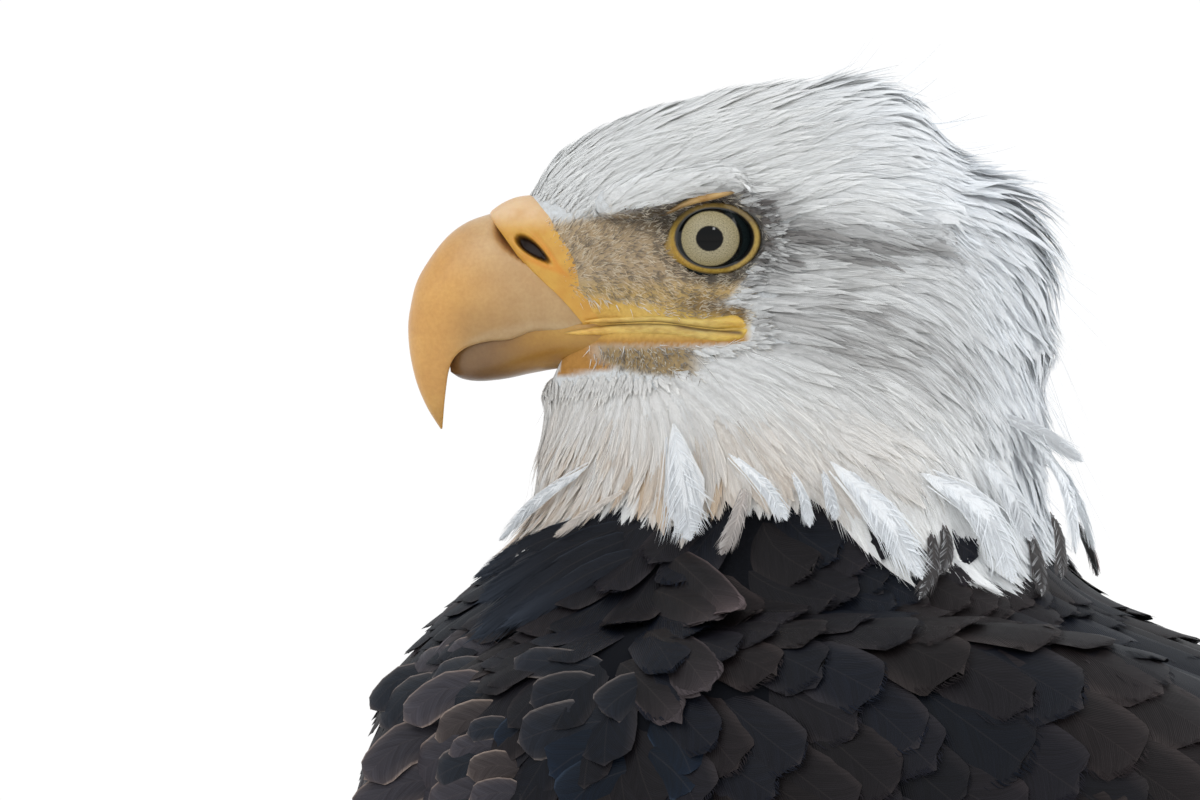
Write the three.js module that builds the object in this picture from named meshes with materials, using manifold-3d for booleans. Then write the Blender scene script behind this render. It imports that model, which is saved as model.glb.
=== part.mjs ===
// A life-size bald eagle that stands on level ground, wings folded, head turned a little to its left.
// Millimetres, +Z up. The bird faces -X and its left side is towards -Y.
// Every outline is drawn from the point midway between the eyes; the group is set on the floor at the end.
import * as THREE from "three";
import { mergeVertices } from "three/addons/utils/BufferGeometryUtils.js";
import Module from "manifold-3d";

const wasm = await Module();
wasm.setup();

// ---------------------------------------------------------------- driving dimensions
const EYE_HEIGHT = 462; // from the floor to the middle of the eyes
const GAP = 0.3; // what touching nodes keep between them
const HEAD_TURN = THREE.MathUtils.degToRad(10); // to the bird's left
const NECK_AXIS_X = 15; // the head turns about a vertical line here
const TURN_FROM_Z = -90; // the neck starts to turn at this level ...
const TURN_TO_Z = -40; // ... and has turned in full here

const TAIL_LENGTH = 288;
const TAIL_SLOPE = THREE.MathUtils.degToRad(28); // below the horizontal
const TAIL_ROOT = new THREE.Vector3(262, 0, -264);
const RECTRICES = 12;

const EYE_RADIUS = 12;
const EYE_SIDE = 15; // the eyeball's centre, out from the middle
const CORNEA_RADIUS = 8.6;
const CORNEA_OUT = 4.6;
const LID_OPENING = [9.8, 8.2]; // half the length and height of the eye's opening
const LID_THICK = 1.7;
const LID_SIDE = 21.6;
const EYE_FORWARD = THREE.MathUtils.degToRad(20); // the eyes look this far forward of sideways

const FOOT_X = 104; // the middle of each foot
const FOOT_SIDE = 50;
const TARSUS_LENGTH = 92;
const TOE_RADIUS = 8.6;

// The body from the forehead to the root of the tail. Each ring lies between a point on the back and
// one on the belly, both in the middle plane: [back x, back z, belly x, belly z, half width].
const TRUNK = [
  [-34, 18, -44, -34, 11],
  [-8, 28, -43, -38, 15],
  [22, 31, -42, -42, 21],
  [46, 22, -42, -48, 29],
  [60, 2, -42, -54, 37],
  [67, -22, -42, -60, 43],
  [73, -47, -43, -66, 50],
  [80, -70, -47, -73, 57],
  [92, -85, -57, -83, 66],
  [107, -93, -71, -97, 76],
  [124, -101, -83, -118, 85],
  [143, -111, -89, -145, 91],
  [165, -124, -84, -177, 93],
  [188, -140, -63, -210, 91],
  [212, -159, -22, -240, 87],
  [234, -180, 34, -262, 80],
  [254, -202, 95, -280, 72],
  [272, -222, 155, -293, 62],
  [287, -240, 210, -299, 50],
  [298, -256, 254, -302, 37],
  [310, -271, 286, -303, 21],
  // past the end of the torso, only for the lie of the feathers over the tail's root
  [338, -282, 320, -312, 23],
  [375, -300, 360, -330, 26],
];
// The folded wings' inner side: as the trunk in front, then over the rump and on to the wing tips.
const WING_BED = [
  ...TRUNK.slice(0, 15),
  [240, -175, 34, -262, 84],
  [268, -195, 110, -285, 77],
  [298, -215, 185, -300, 69],
  [330, -238, 262, -315, 60],
  [366, -262, 325, -335, 53],
  [405, -290, 382, -352, 46],
  [442, -320, 430, -368, 37],
  [474, -350, 468, -380, 24],
];
const NECK_FROM = 3.2; // ring numbers at which the neck starts and ends
const NECK_TO = 7.6;
const TORSO_TO = 20;
const TRUNK_SIDES = 18;
const NECK_SIDES = 14;

// The head in front of the neck: [top x, top z, bottom x, bottom z, half width].
const HEAD = [
  [-45.5, 10.2, -33.5, -20.8, 13.6],
  [-38, 16.5, -28, -33, 15.5],
  [-26, 24, -20, -37, 18.5],
  [-13, 29, -9, -41, 22],
  [0, 32, 3, -44, 26],
  [14, 33.5, 14, -46, 30.5],
  [28, 32.5, 26, -46, 34],
  [42, 27, 38, -42, 33],
  [52, 18, 48, -34, 27],
];
const HEAD_SIDES = 14;

// The bill: [top x, top z, bottom x, bottom z, half width].
const HORN = [
  [-65.2, -45.8, -64.6, -45.4, 0.6],
  [-68.4, -40.5, -64.6, -40.8, 2.0],
  [-70.9, -34, -64.3, -36.6, 3.6],
  [-72.5, -27.4, -63.8, -32, 5.3],
  [-73, -20.4, -62.2, -27.8, 7.2],
  [-72, -12.8, -59, -25.4, 9.0],
  [-68.4, -4.9, -54.6, -24, 10.6],
  [-62.6, 2, -48.4, -23.6, 11.9],
  [-53.2, 6.3, -41, -22.4, 12.6],
];
const CERE = [
  [-52.9, 6.6, -40.7, -22.2, 12.6],
  [-50, 8.4, -37.4, -21.6, 13.0],
  [-45.8, 10.4, -33.8, -20.9, 13.7],
];
const LOWER_BILL = [
  [-62.6, -28.6, -62.2, -31.6, 3.2],
  [-60, -26.6, -58.6, -33.2, 6.2],
  [-54.8, -25, -53.4, -33.7, 8.6],
  [-49, -24.7, -47.6, -32.8, 10.2],
  [-42, -23.2, -40.6, -31.5, 11.8],
  [-34, -22, -33, -30.6, 13.4],
  [-25, -21, -24, -31, 15.6],
];
const BILL_SIDES = 14;

// ---------------------------------------------------------------- small tools
const vec = (x, y, z) => new THREE.Vector3(x, y, z);
const { lerp, clamp, smoothstep, degToRad } = THREE.MathUtils;
let seed = 20261;
function random() {
  seed = (seed * 1664525 + 1013904223) % 4294967296;
  return seed / 4294967296;
}
const spread = (amount) => (random() * 2 - 1) * amount;

function solidOf(geometry) {
  const bare = geometry.clone();
  for (const name of Object.keys(bare.attributes)) {
    if (name !== "position") bare.deleteAttribute(name);
  }
  const merged = mergeVertices(bare, 1e-4);
  const made = new wasm.Manifold(
    new wasm.Mesh({
      numProp: 3,
      vertProperties: merged.attributes.position.array,
      triVerts: new Uint32Array(merged.index.array),
    }),
  );
  return made;
}

const middleOf = (points) => points
  .reduce((sum, p) => sum.add(p), vec(0, 0, 0)).multiplyScalar(1 / points.length);

// The end ring of a row of rings, moved outwards along the row.
function movedEnd(end, next, distance) {
  const out = middleOf(end).sub(middleOf(next)).normalize();
  return end.map((p) => p.clone().addScaledVector(out, distance));
}

// A closed solid through rings of points, each ring with the same count. Both ends are closed.
// A grown one also reaches `grow` further at both ends.
function loft(open, grow = 0) {
  const last = open.length - 1;
  const rings = grow === 0 ? open
    : [movedEnd(open[0], open[1], grow), ...open, movedEnd(open[last], open[last - 1], grow)];
  const count = rings[0].length;
  const points = rings.flat();
  const faces = [];
  for (let r = 0; r + 1 < rings.length; r += 1) {
    for (let i = 0; i < count; i += 1) {
      const j = (i + 1) % count;
      const a = r * count + i;
      const b = r * count + j;
      faces.push([a, b, b + count], [a, b + count, a + count]);
    }
  }
  for (const [ring, flip] of [[0, true], [rings.length - 1, false]]) {
    const base = ring * count;
    for (let i = 1; i + 1 < count; i += 1) {
      faces.push(flip ? [base, base + i + 1, base + i] : [base, base + i, base + i + 1]);
    }
  }
  return closed(points, faces);
}

// A solid from points and triangles that close, turned so that the faces point out.
function closed(points, faces) {
  const inside = middleOf(points);
  let volume = 0;
  for (const [a, b, c] of faces) {
    const [p, q, s] = [a, b, c].map((k) => points[k].clone().sub(inside));
    volume += p.dot(q.cross(s));
  }
  if (volume < 0) faces.forEach((f) => f.reverse());
  const geometry = new THREE.BufferGeometry();
  geometry.setFromPoints(points);
  geometry.setIndex(faces.flat());
  return solidOf(geometry);
}

// The same for a shape whose faces may point inwards.
function positive(geometry) {
  const made = solidOf(geometry);
  if (made.volume() > 0) return made;
  const turnedRound = geometry.clone();
  const index = Array.from(turnedRound.index.array);
  for (let i = 0; i < index.length; i += 3) [index[i], index[i + 1]] = [index[i + 1], index[i]];
  turnedRound.setIndex(index);
  return solidOf(turnedRound);
}

const unite = (solids) => wasm.Manifold.union(solids);
function largest(solid) {
  return solid.decompose().reduce((best, s) => (s.volume() > best.volume() ? s : best));
}

// An ellipsoid with its radii along X, Y and Z, then turned and placed.
function ellipsoid(radii, at, turn = [0, 0, 0], sides = 12) {
  const ball = new THREE.SphereGeometry(1, sides, Math.max(6, sides / 2));
  ball.scale(radii[0], radii[1], radii[2]);
  ball.applyMatrix4(new THREE.Matrix4().makeRotationFromEuler(new THREE.Euler(...turn)));
  ball.translate(at.x, at.y, at.z);
  return solidOf(ball);
}

// ---------------------------------------------------------------- ringed surfaces
// A row of a ring table between its rings, on a Catmull-Rom curve.
function rowAt(table, t) {
  const last = table.length - 1;
  const k = clamp(Math.floor(t), 0, last - 1);
  const f = clamp(t - k, 0, 1);
  const [p, q, r, s] = [-1, 0, 1, 2].map((d) => table[clamp(k + d, 0, last)]);
  return q.map((_, i) => 0.5 * (2 * q[i] + (r[i] - p[i]) * f
    + (2 * p[i] - 5 * q[i] + 4 * r[i] - s[i]) * f * f
    + (3 * q[i] - p[i] - 3 * r[i] + s[i]) * f * f * f));
}

const FULLNESS = 0.92; // under 1 makes a ring a little squarer than an ellipse
const rounded = (x) => Math.sign(x) * Math.abs(x) ** FULLNESS;

// A point of a ringed surface. phi is 0 on the back, 90 degrees on the bird's left, 180 on the belly.
function onRing(table, t, phi) {
  const [bx, bz, vx, vz, half] = rowAt(table, t);
  const c = rounded(Math.cos(phi));
  const s = rounded(Math.sin(phi));
  return vec((bx + vx) / 2 + (c * (bx - vx)) / 2, -half * s, (bz + vz) / 2 + (c * (bz - vz)) / 2);
}

// The surface's point, its outward normal, and its unit directions along and round the body.
function frameAt(table, t, phi) {
  const d = 0.04;
  const point = onRing(table, t, phi);
  const along = onRing(table, t + d, phi).sub(onRing(table, t - d, phi)).divideScalar(2 * d);
  const round = onRing(table, t, phi + d).sub(onRing(table, t, phi - d)).divideScalar(2 * d);
  const normal = round.clone().cross(along).normalize();
  const [bx, bz, vx, vz] = rowAt(table, t);
  const middle = vec((bx + vx) / 2, 0, (bz + vz) / 2);
  if (normal.dot(point.clone().sub(middle)) < 0) normal.negate();
  return { point, normal, along, round };
}

// A body of rings from one ring number to another, grown outwards by `grow`.
function ringBody(table, from, to, steps, sides, grow = 0) {
  const rings = [];
  for (let r = 0; r <= steps; r += 1) {
    const t = lerp(from, to, r / steps);
    rings.push(ringPoints(table, t, sides, grow));
  }
  return loft(rings, grow);
}

function ringPoints(table, t, sides, grow) {
  const ring = [];
  for (let i = 0; i < sides; i += 1) {
    const { point, normal } = frameAt(table, t, (i / sides) * 2 * Math.PI);
    ring.push(point.addScaledVector(normal, grow));
  }
  return ring;
}

// ---------------------------------------------------------------- feathers
// Outlines as [share of the length, share of the half width]; every feather ends in one point.
const LANCE = [[0, 0.35], [0.32, 0.95], [0.62, 0.88], [0.86, 0.46]];
const BLUNT = [[0, 0.35], [0.45, 1], [0.88, 0.84]];
const RAGGED = [[0, 0.35], [0.45, 1], [0.82, 0.6]];
const LONG = [[0, 0.45], [0.25, 0.8], [0.6, 1], [0.86, 0.92], [0.965, 0.55]];

// One feather: flat below, with a ridge along its shaft. `line` gives the point and normal at a share
// of its length. A grown one has upright edges, because GAP has to hold round its thin edges too.
function feather({ line, outline, half, thick, cup = 0.3 }, grow = 0) {
  const section = ([share, width]) => {
    const { point, normal } = line(share);
    const along = line(share + 0.02).point.sub(line(share - 0.02).point).normalize();
    const across = normal.clone().cross(along).normalize();
    const up = along.clone().cross(across);
    const at = (sideways, height) => point.clone()
      .addScaledVector(across, sideways).addScaledVector(up, height);
    const reach = half * width;
    const low = -cup * width * width;
    if (grow === 0) return [at(-reach, low), at(0, thick), at(reach, low)];
    const far = reach + 3 * grow;
    return [
      at(-far, low - grow), at(-far, low + grow), at(0, thick + grow), at(far, low + grow), at(far, low - grow),
    ];
  };
  if (grow === 0) return pointed(outline.map(section), line(1).point);
  return loft([...outline, [1.01, 0]].map(section), grow);
}

// A closed solid through rings of points that ends in one point.
function pointed(rings, tip) {
  const count = rings[0].length;
  const points = [...rings.flat(), tip];
  const faces = [];
  for (let r = 0; r + 1 < rings.length; r += 1) {
    for (let i = 0; i < count; i += 1) {
      const a = r * count + i;
      const b = r * count + ((i + 1) % count);
      faces.push([a, b, b + count], [a, b + count, a + count]);
    }
  }
  const lastRing = (rings.length - 1) * count;
  for (let i = 0; i < count; i += 1) faces.push([lastRing + i, lastRing + ((i + 1) % count), points.length - 1]);
  for (let i = 1; i + 1 < count; i += 1) faces.push([0, i + 1, i]);
  return closed(points, faces);
}

// A line over a ringed surface from a root at (t, phi). It drifts round the body by `drift` and climbs
// from `sink` under the surface to `rise` above it.
function lieOn(table, t, phi, length, { drift = 0, sink = 3, rise = 4.5, bend = 1 } = {}) {
  const start = frameAt(table, t, phi).along.length();
  const end = frameAt(table, t + length / start, phi).along.length();
  const reach = (2 * length) / (start + end);
  return (share) => {
    const { point, normal } = frameAt(table, t + reach * share, phi + drift * share);
    const height = lerp(-sink, rise, Math.max(share, 0) ** bend);
    return { point: point.addScaledVector(normal, height), normal };
  };
}

const feathersOf = (specs, grow = 0) => unite(specs.map((spec) => feather(spec, grow)));

// ---------------------------------------------------------------- nodes
const COLOURS = {
  white: [0xe9e7e4, 0.85],
  dark: [0x33292a, 0.8],
  wing: [0x2c2729, 0.75],
  horn: [0xdfaa5c, 0.45],
  cere: [0xe0a33c, 0.55],
  foot: [0xd9a43a, 0.6],
  claw: [0x17161a, 0.35],
  eye: [0xd9cfae, 0.15],
};
const nodes = new Map();
function addNode(name, finish, solid) {
  nodes.set(name, { finish, solid: largest(solid) });
}

const sides = [["left", 1], ["right", -1]];

function eyeballs(grow = 0) {
  return sides.map(([, hand]) => {
    const centre = vec(0, -hand * EYE_SIDE, -0.5);
    const look = vec(-Math.sin(EYE_FORWARD), -hand * Math.cos(EYE_FORWARD), 0);
    const r = EYE_RADIUS + grow;
    const c = CORNEA_RADIUS + grow;
    return unite([
      ellipsoid([r, r, r], centre, [0, 0, 0], 10),
      ellipsoid([c, c, c], centre.clone().addScaledVector(look, CORNEA_OUT), [0, 0, 0], 10),
    ]);
  });
}

function billRings(table, grow = 0) {
  return loft(table.map((_, t) => ringPoints(table, t, BILL_SIDES, grow)), grow);
}

// A ring of lid round one eye's opening, square to the way that the eye looks.
function lidRing(hand, grow = 0) {
  const ring = new THREE.TorusGeometry(1, 1, 4, 12);
  const p = ring.attributes.position;
  for (let i = 0; i < p.count; i += 1) {
    const a = Math.atan2(p.getY(i), p.getX(i));
    const out = (Math.hypot(p.getX(i), p.getY(i)) - 1) * (LID_THICK + grow);
    p.setXYZ(
      i,
      (LID_OPENING[0] + LID_THICK + out) * Math.cos(a),
      -hand * (LID_SIDE + p.getZ(i) * (LID_THICK + grow)),
      (LID_OPENING[1] + LID_THICK + out) * Math.sin(a) - 0.6,
    );
  }
  ring.rotateZ(hand * EYE_FORWARD * 0.7);
  return positive(ring);
}

// The head in one piece: skull, brow ridges, eyelids and the fleshy edges of the gape.
function headFlesh(grow = 0) {
  const skull = loft(HEAD.map((_, t) => ringPoints(HEAD, t, HEAD_SIDES, grow)), grow);
  const orbits = unite(sides.map(([, hand]) => (
    ellipsoid([13.5 - grow, 7 - grow, 10.5 - grow], vec(0, -hand * 28, -1), [0, 0, hand * degToRad(14)], 8)
  )));
  const extra = sides.flatMap(([, hand]) => [
    // the brow ridge that shades the eye
    ellipsoid([16 + grow, 5.4 + grow, 3.6 + grow], vec(-3, -hand * 24, 10.6), [0, degToRad(-10), hand * degToRad(14)], 8),
    // the lids round the eye
    lidRing(hand, grow),
    // upper and lower edge of the gape
    ellipsoid([19 + grow, 3 + grow, 1.7 + grow], vec(-11, -hand * 20.5, -18.4), [0, 0, hand * degToRad(17)], 8),
    ellipsoid([18 + grow, 3 + grow, 1.9 + grow], vec(-11, -hand * 20, -23.6), [0, 0, hand * degToRad(17)], 8),
  ]);
  return unite([skull.subtract(orbits), ...extra]);
}

const [eyeLeft, eyeRight] = eyeballs();
const eyesGrown = unite(eyeballs(GAP));
addNode("eye_left", "eye", eyeLeft);
addNode("eye_right", "eye", eyeRight);

const horn = billRings(HORN);
const lowerBill = billRings(LOWER_BILL);
const lowerGrown = billRings(LOWER_BILL, GAP);
const nostrils = unite(sides.map(([, hand]) => (
  ellipsoid([4.6, 4, 1.3], vec(-43.2, -hand * 12.4, -2.4), [0, degToRad(38), hand * degToRad(8)], 8)
)));
addNode("bill_upper", "horn", horn.subtract(lowerGrown));
addNode("cere", "cere", billRings(CERE).subtract(nostrils).subtract(lowerGrown));
addNode("bill_lower", "horn", lowerBill);

// ---------------------------------------------------------------- neck and torso
// Hackles: [ring number, how many round the neck, length, half width].
const HACKLE_ROWS = [
  [3.35, 10, 46, 10.5],
  [4.15, 11, 52, 12],
  [5.0, 12, 55, 13],
  [5.9, 12, 57, 14],
  [6.8, 12, 58, 15],
];
const CREST_ROWS = [[2.35, 10, 38, 9]]; // the same on the back of the head
const RUFFLED = degToRad(80); // the wind lifts the hackles this far round from the nape
const RUFFLE = [9, 19]; // and by this much

function hackles(rows, around = 2 * Math.PI) {
  return rows.flatMap(([t, count, length, half], row) => {
    const list = [];
    for (let i = 0; i < count; i += 1) {
      const phi = ((i + (row % 2) / 2) / count - 0.5 + 0.5 / count) * around + spread(0.05);
      const fromNape = Math.abs(Math.atan2(Math.sin(phi), Math.cos(phi)));
      const wind = 1 - smoothstep(fromNape, RUFFLED * 0.35, RUFFLED);
      const rise = lerp(5 + spread(0.5), lerp(...RUFFLE, random()), wind);
      const long = length * (1 + spread(0.1) + 0.1 * wind);
      const line = lieOn(TRUNK, t + spread(0.06), phi, long, { drift: spread(0.06), rise, bend: 1 + 0.6 * wind });
      list.push({ line, outline: LANCE, half: half * (1 + spread(0.08)), thick: 1.3 });
    }
    return list;
  });
}

const NAPE_SIDES = 14;
const crest = hackles(CREST_ROWS, degToRad(250));
const wholeHead = (grow = 0) => unite([
  headFlesh(grow), ringBody(TRUNK, 1.5, NECK_FROM, 2, NAPE_SIDES, grow), feathersOf(crest, grow),
]);
const headCutter = wholeHead(GAP);
const cereGrown = unite([billRings(CERE, GAP), billRings(HORN, GAP)]);
addNode("head", "white", wholeHead().subtract(unite([eyesGrown, cereGrown, lowerGrown])));

const neckCore = ringBody(TRUNK, NECK_FROM, NECK_TO, 4, NECK_SIDES);
const neckCoreGrown = ringBody(TRUNK, NECK_FROM, NECK_TO, 4, NECK_SIDES, GAP);
const torsoCore = ringBody(TRUNK, NECK_TO, TORSO_TO, 11, TRUNK_SIDES);
const torsoGrown = ringBody(TRUNK, NECK_TO, TORSO_TO, 11, TRUNK_SIDES, GAP);
const ruff = hackles(HACKLE_ROWS);
const neckGrown = unite([neckCoreGrown, feathersOf(ruff, GAP)]);
addNode("neck", "white", unite([neckCore, feathersOf(ruff)]).subtract(unite([headCutter, torsoGrown])));

// ---------------------------------------------------------------- tail
const tailAxis = vec(Math.cos(TAIL_SLOPE), 0, -Math.sin(TAIL_SLOPE));
const tailUp = vec(Math.sin(TAIL_SLOPE), 0, Math.cos(TAIL_SLOPE));
const TAIL_FAN = degToRad(7.5); // the outermost tail feather leans this far from straight back
const TAIL_STEP = 1.15; // how far each tail feather lies under the one beside it
const RECTRIX_HALF = 18;

// A place on the tail: distance from its root, sideways, and above its middle sheet.
const tailPlace = (s, across, up) => TAIL_ROOT.clone()
  .addScaledVector(tailAxis, s).add(vec(0, across, 0)).addScaledVector(tailUp, up);

// The tail feathers from the middle pair outwards. Each lies under its inner neighbour.
function rectrices() {
  const list = [];
  for (let i = 0; i < RECTRICES; i += 1) {
    const hand = i % 2 === 0 ? 1 : -1;
    const order = Math.floor(i / 2) / (RECTRICES / 2 - 1);
    const lean = TAIL_FAN * (0.1 + 0.9 * order) * -hand;
    const length = TAIL_LENGTH * (1 - 0.07 * order ** 2) - 4 * random();
    const under = -TAIL_STEP * i;
    const line = (share) => ({
      point: tailPlace(
        length * share * Math.cos(lean),
        -hand * 3 * (1 + order * 2) + length * share * Math.sin(lean),
        4 + under * smoothstep(share, 0, 0.35) * (0.4 + 0.6 * share) - 10 * share * share,
      ),
      normal: tailUp.clone(),
    });
    list.push({ line, outline: LONG, half: RECTRIX_HALF * (1 - 0.12 * order), thick: 0.8 });
  }
  return list;
}
function tailRoot(grow = 0) {
  const stops = [[10, 16, 10], [50, 24, 10], [90, 29, 7.5], [124, 28, 3.5]];
  return loft(stops.map(([s, half, thick]) => {
    const ring = [];
    for (let i = 0; i < 12; i += 1) {
      const a = (i / 12) * 2 * Math.PI;
      ring.push(tailPlace(s, (half + grow) * Math.cos(a), 1 + (thick + grow) * Math.sin(a)));
    }
    return ring;
  }), grow);
}
const tailFeathers = rectrices();
const tailGrown = unite([tailRoot(GAP), feathersOf(tailFeathers, GAP)]);
addNode("tail", "white", unite([tailRoot(), feathersOf(tailFeathers)]).subtract(torsoGrown));

// ---------------------------------------------------------------- wings
const WING_FRONT = 8.6; // ring numbers of the wing bed
const WING_REAR = 17.6;
const WING_TOP = degToRad(24);
const WING_LOW_FRONT = degToRad(146);
const WING_LOW_REAR = degToRad(100);
const WRIST_ROUND = 0.22; // share of the pad's length that its rounded front takes
const PAD_DEEP = 11;

// Where a place on the wing pad is: u from front to rear, v from its upper to its lower edge.
function wingPlace(u, v) {
  const t = lerp(WING_FRONT, WING_REAR, u);
  const low = lerp(WING_LOW_FRONT, WING_LOW_REAR, smoothstep(u, 0, 0.8));
  const open = Math.sqrt(Math.max(0, 1 - (1 - clamp(u / WRIST_ROUND, 0, 1)) ** 2));
  return [t, (WING_TOP + low) / 2 + (v - 0.5) * (low - WING_TOP) * Math.max(open, 0.12)];
}
const padDepth = (u, v) => {
  const edge = Math.max(0, 1 - Math.abs(2 * v - 1) ** 3);
  return 1.5 + PAD_DEEP * edge * smoothstep(u, -0.02, 0.15) * (1 - 0.75 * smoothstep(u, 0.3, 1));
};

function wingPad(hand, grow = 0) {
  const rings = [];
  const across = 6;
  const steps = 8;
  for (let r = 0; r <= steps; r += 1) {
    const u = r / steps;
    const outer = [];
    const inner = [];
    for (let i = 0; i <= across; i += 1) {
      const v = i / across;
      const [t, phi] = wingPlace(u, v + (2 * v - 1) * grow * 0.06);
      const { point, normal } = frameAt(WING_BED, t, hand * phi);
      outer.push(point.clone().addScaledVector(normal, padDepth(u, v) + grow));
      inner.push(point.clone().addScaledVector(normal, -2 - grow));
    }
    rings.push([...outer, ...inner.reverse()]);
  }
  return loft(rings, grow);
}

// Rows of the wing from front to rear: [u of the roots, how many across, v of the first and the last,
// length of the first and the last, half width, outline, how far the tips lie above the pad, and how
// far each one lies under the one above it].
const WING_ROWS = [
  [0.06, 5, 0.1, 0.9, 42, 40, 13.5, BLUNT, 4.5, 0],
  [0.2, 6, 0.08, 0.92, 50, 46, 13, BLUNT, 4.5, 0],
  [0.36, 5, 0.1, 0.9, 62, 54, 15.5, BLUNT, 4.5, 0],
  [0.54, 5, 0.1, 0.88, 84, 66, 15, BLUNT, 4.5, 0.6],
  [0.75, 6, 0.1, 0.92, 140, 92, 11.5, LONG, 4, 1.1],
  [0.9, 6, 0.3, 0.86, 208, 140, 9.5, LONG, 0.5, 1],
];
function lieOnWing(hand, u, v, length, { drift = 0, sink = 2.5, rise = 4 }) {
  const at = (share, reach) => {
    const place = u + reach * share;
    const [t, phi] = wingPlace(place, v + drift * share);
    const { point, normal } = frameAt(WING_BED, t, hand * phi);
    const height = padDepth(Math.min(place, 1), v) + lerp(-sink, rise, Math.max(share, 0));
    return { point: point.addScaledVector(normal, height), normal };
  };
  let reach = 0.1;
  for (let round = 0; round < 4; round += 1) {
    let run = 0;
    for (let k = 0; k < 10; k += 1) run += at(k / 10, reach).point.distanceTo(at((k + 1) / 10, reach).point);
    reach *= length / run;
  }
  return (share) => at(share, reach);
}
function wingFeathers(hand) {
  return WING_ROWS.flatMap(([u, count, first, last, longFirst, longLast, half, outline, rise, step]) => {
    const list = [];
    for (let i = 0; i < count; i += 1) {
      const place = i / (count - 1);
      const v = lerp(first, last, place) + spread(0.008);
      const length = lerp(longFirst, longLast, place) * (1 + spread(0.04));
      const over = ((count - 1) / 2 - i) * step;
      const line = lieOnWing(hand, u + spread(0.008), v, length, { rise: rise + over });
      list.push({ line, outline, half: half * (1 + spread(0.04)), thick: 1.1 });
    }
    return list;
  });
}
const wings = sides.map(([, hand]) => {
  const feathers = wingFeathers(hand);
  const cutter = unite([torsoGrown, neckGrown, tailGrown]);
  return {
    solid: unite([wingPad(hand), feathersOf(feathers)]).subtract(cutter),
    grown: unite([wingPad(hand, GAP), feathersOf(feathers, GAP)]),
  };
});
sides.forEach(([side], i) => addNode(`wing_${side}`, "wing", wings[i].solid));

// ---------------------------------------------------------------- mantle and tail coverts
// [ring number, how many, phi of the first and the last, length, half width]. The last row lies under
// the tail, the one before it over the tail.
const TORSO_ROWS = [
  [8.1, 4, -48, 48, 50, 15],
  [9.5, 3, -20, 20, 58, 14],
  [11, 2, -11, 11, 64, 15],
  [12.6, 3, -19, 19, 68, 15],
  [14.4, 2, -13, 13, 76, 16],
  [17.2, 3, -42, 42, 84, 14],
  [17.4, 3, 145, 215, 80, 14],
];
function torsoFeathers() {
  return TORSO_ROWS.flatMap(([t, count, first, last, length, half]) => {
    const list = [];
    for (let i = 0; i < count; i += 1) {
      const phi = degToRad(lerp(first, last, i / (count - 1)) + spread(3));
      const line = lieOn(TRUNK, t + spread(0.1), phi, length * (1 + spread(0.08)), { rise: 5 });
      list.push({ line, outline: BLUNT, half: half * (1 + spread(0.06)), thick: 1.6 });
    }
    return list;
  });
}
const torsoClear = feathersOf(torsoFeathers())
  .subtract(unite([neckGrown, tailGrown, wings[0].grown, wings[1].grown]));
addNode("torso", "dark", unite([torsoCore, torsoClear]));


// ---------------------------------------------------------------- legs and feet
const FLOOR_Z = -EYE_HEIGHT;
const TOES = [
  // name, heading from straight ahead, length, claw length; outwards is positive
  ["hallux", 172, 36, 37],
  ["inner", -42, 46, 36],
  ["middle", 4, 70, 32],
  ["outer", 46, 52, 28],
];

// A place on a round limb along a smooth line of [point, radius]: f runs from 0 to 1 and past the end.
function limbAt(stops, f, a) {
  const curve = new THREE.CatmullRomCurve3(stops.map(([p]) => p));
  const g = clamp(f, 0, 1);
  const along = curve.getTangent(g);
  const centre = curve.getPoint(g).addScaledVector(along, (f - g) * curve.getLength());
  const place = g * (stops.length - 1);
  const k = Math.min(Math.floor(place), stops.length - 2);
  const radius = lerp(stops[k][1], stops[k + 1][1], smoothstep(place - k, 0, 1));
  const sideways = vec(0, 1, 0).cross(along).normalize();
  const up = along.clone().cross(sideways).normalize();
  const normal = sideways.multiplyScalar(Math.cos(a)).addScaledVector(up, Math.sin(a));
  return { point: centre.addScaledVector(normal, radius), normal, along };
}

// The limb as a solid. `raised` lifts every second ring, so that scutes step along it.
function limb(stops, sidesCount, steps, grow = 0, raised = () => 0) {
  const rings = [];
  for (let r = 0; r <= steps; r += 1) {
    const ring = [];
    for (let i = 0; i < sidesCount; i += 1) {
      const a = (i / sidesCount) * 2 * Math.PI;
      const { point, normal } = limbAt(stops, r / steps, a);
      ring.push(point.addScaledVector(normal, grow + (r % 2) * raised(a)));
    }
    rings.push(ring);
  }
  return loft(rings, grow);
}

const ankle = (hand) => vec(FOOT_X + 16, -hand * (FOOT_SIDE - 2), FLOOR_Z + TARSUS_LENGTH + 8);
const footTop = (hand) => vec(FOOT_X + 2, -hand * FOOT_SIDE, FLOOR_Z + 18);

const thighStops = (hand) => [
  [vec(FOOT_X - 10, -hand * 36, FLOOR_Z + 262), 18],
  [vec(FOOT_X - 4, -hand * 44, FLOOR_Z + 215), 46],
  [vec(FOOT_X + 4, -hand * 49, FLOOR_Z + 162), 42],
  [ankle(hand).add(vec(0, 0, 22)), 27],
  [ankle(hand).add(vec(-3, 0, -12)), 14],
];
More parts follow.
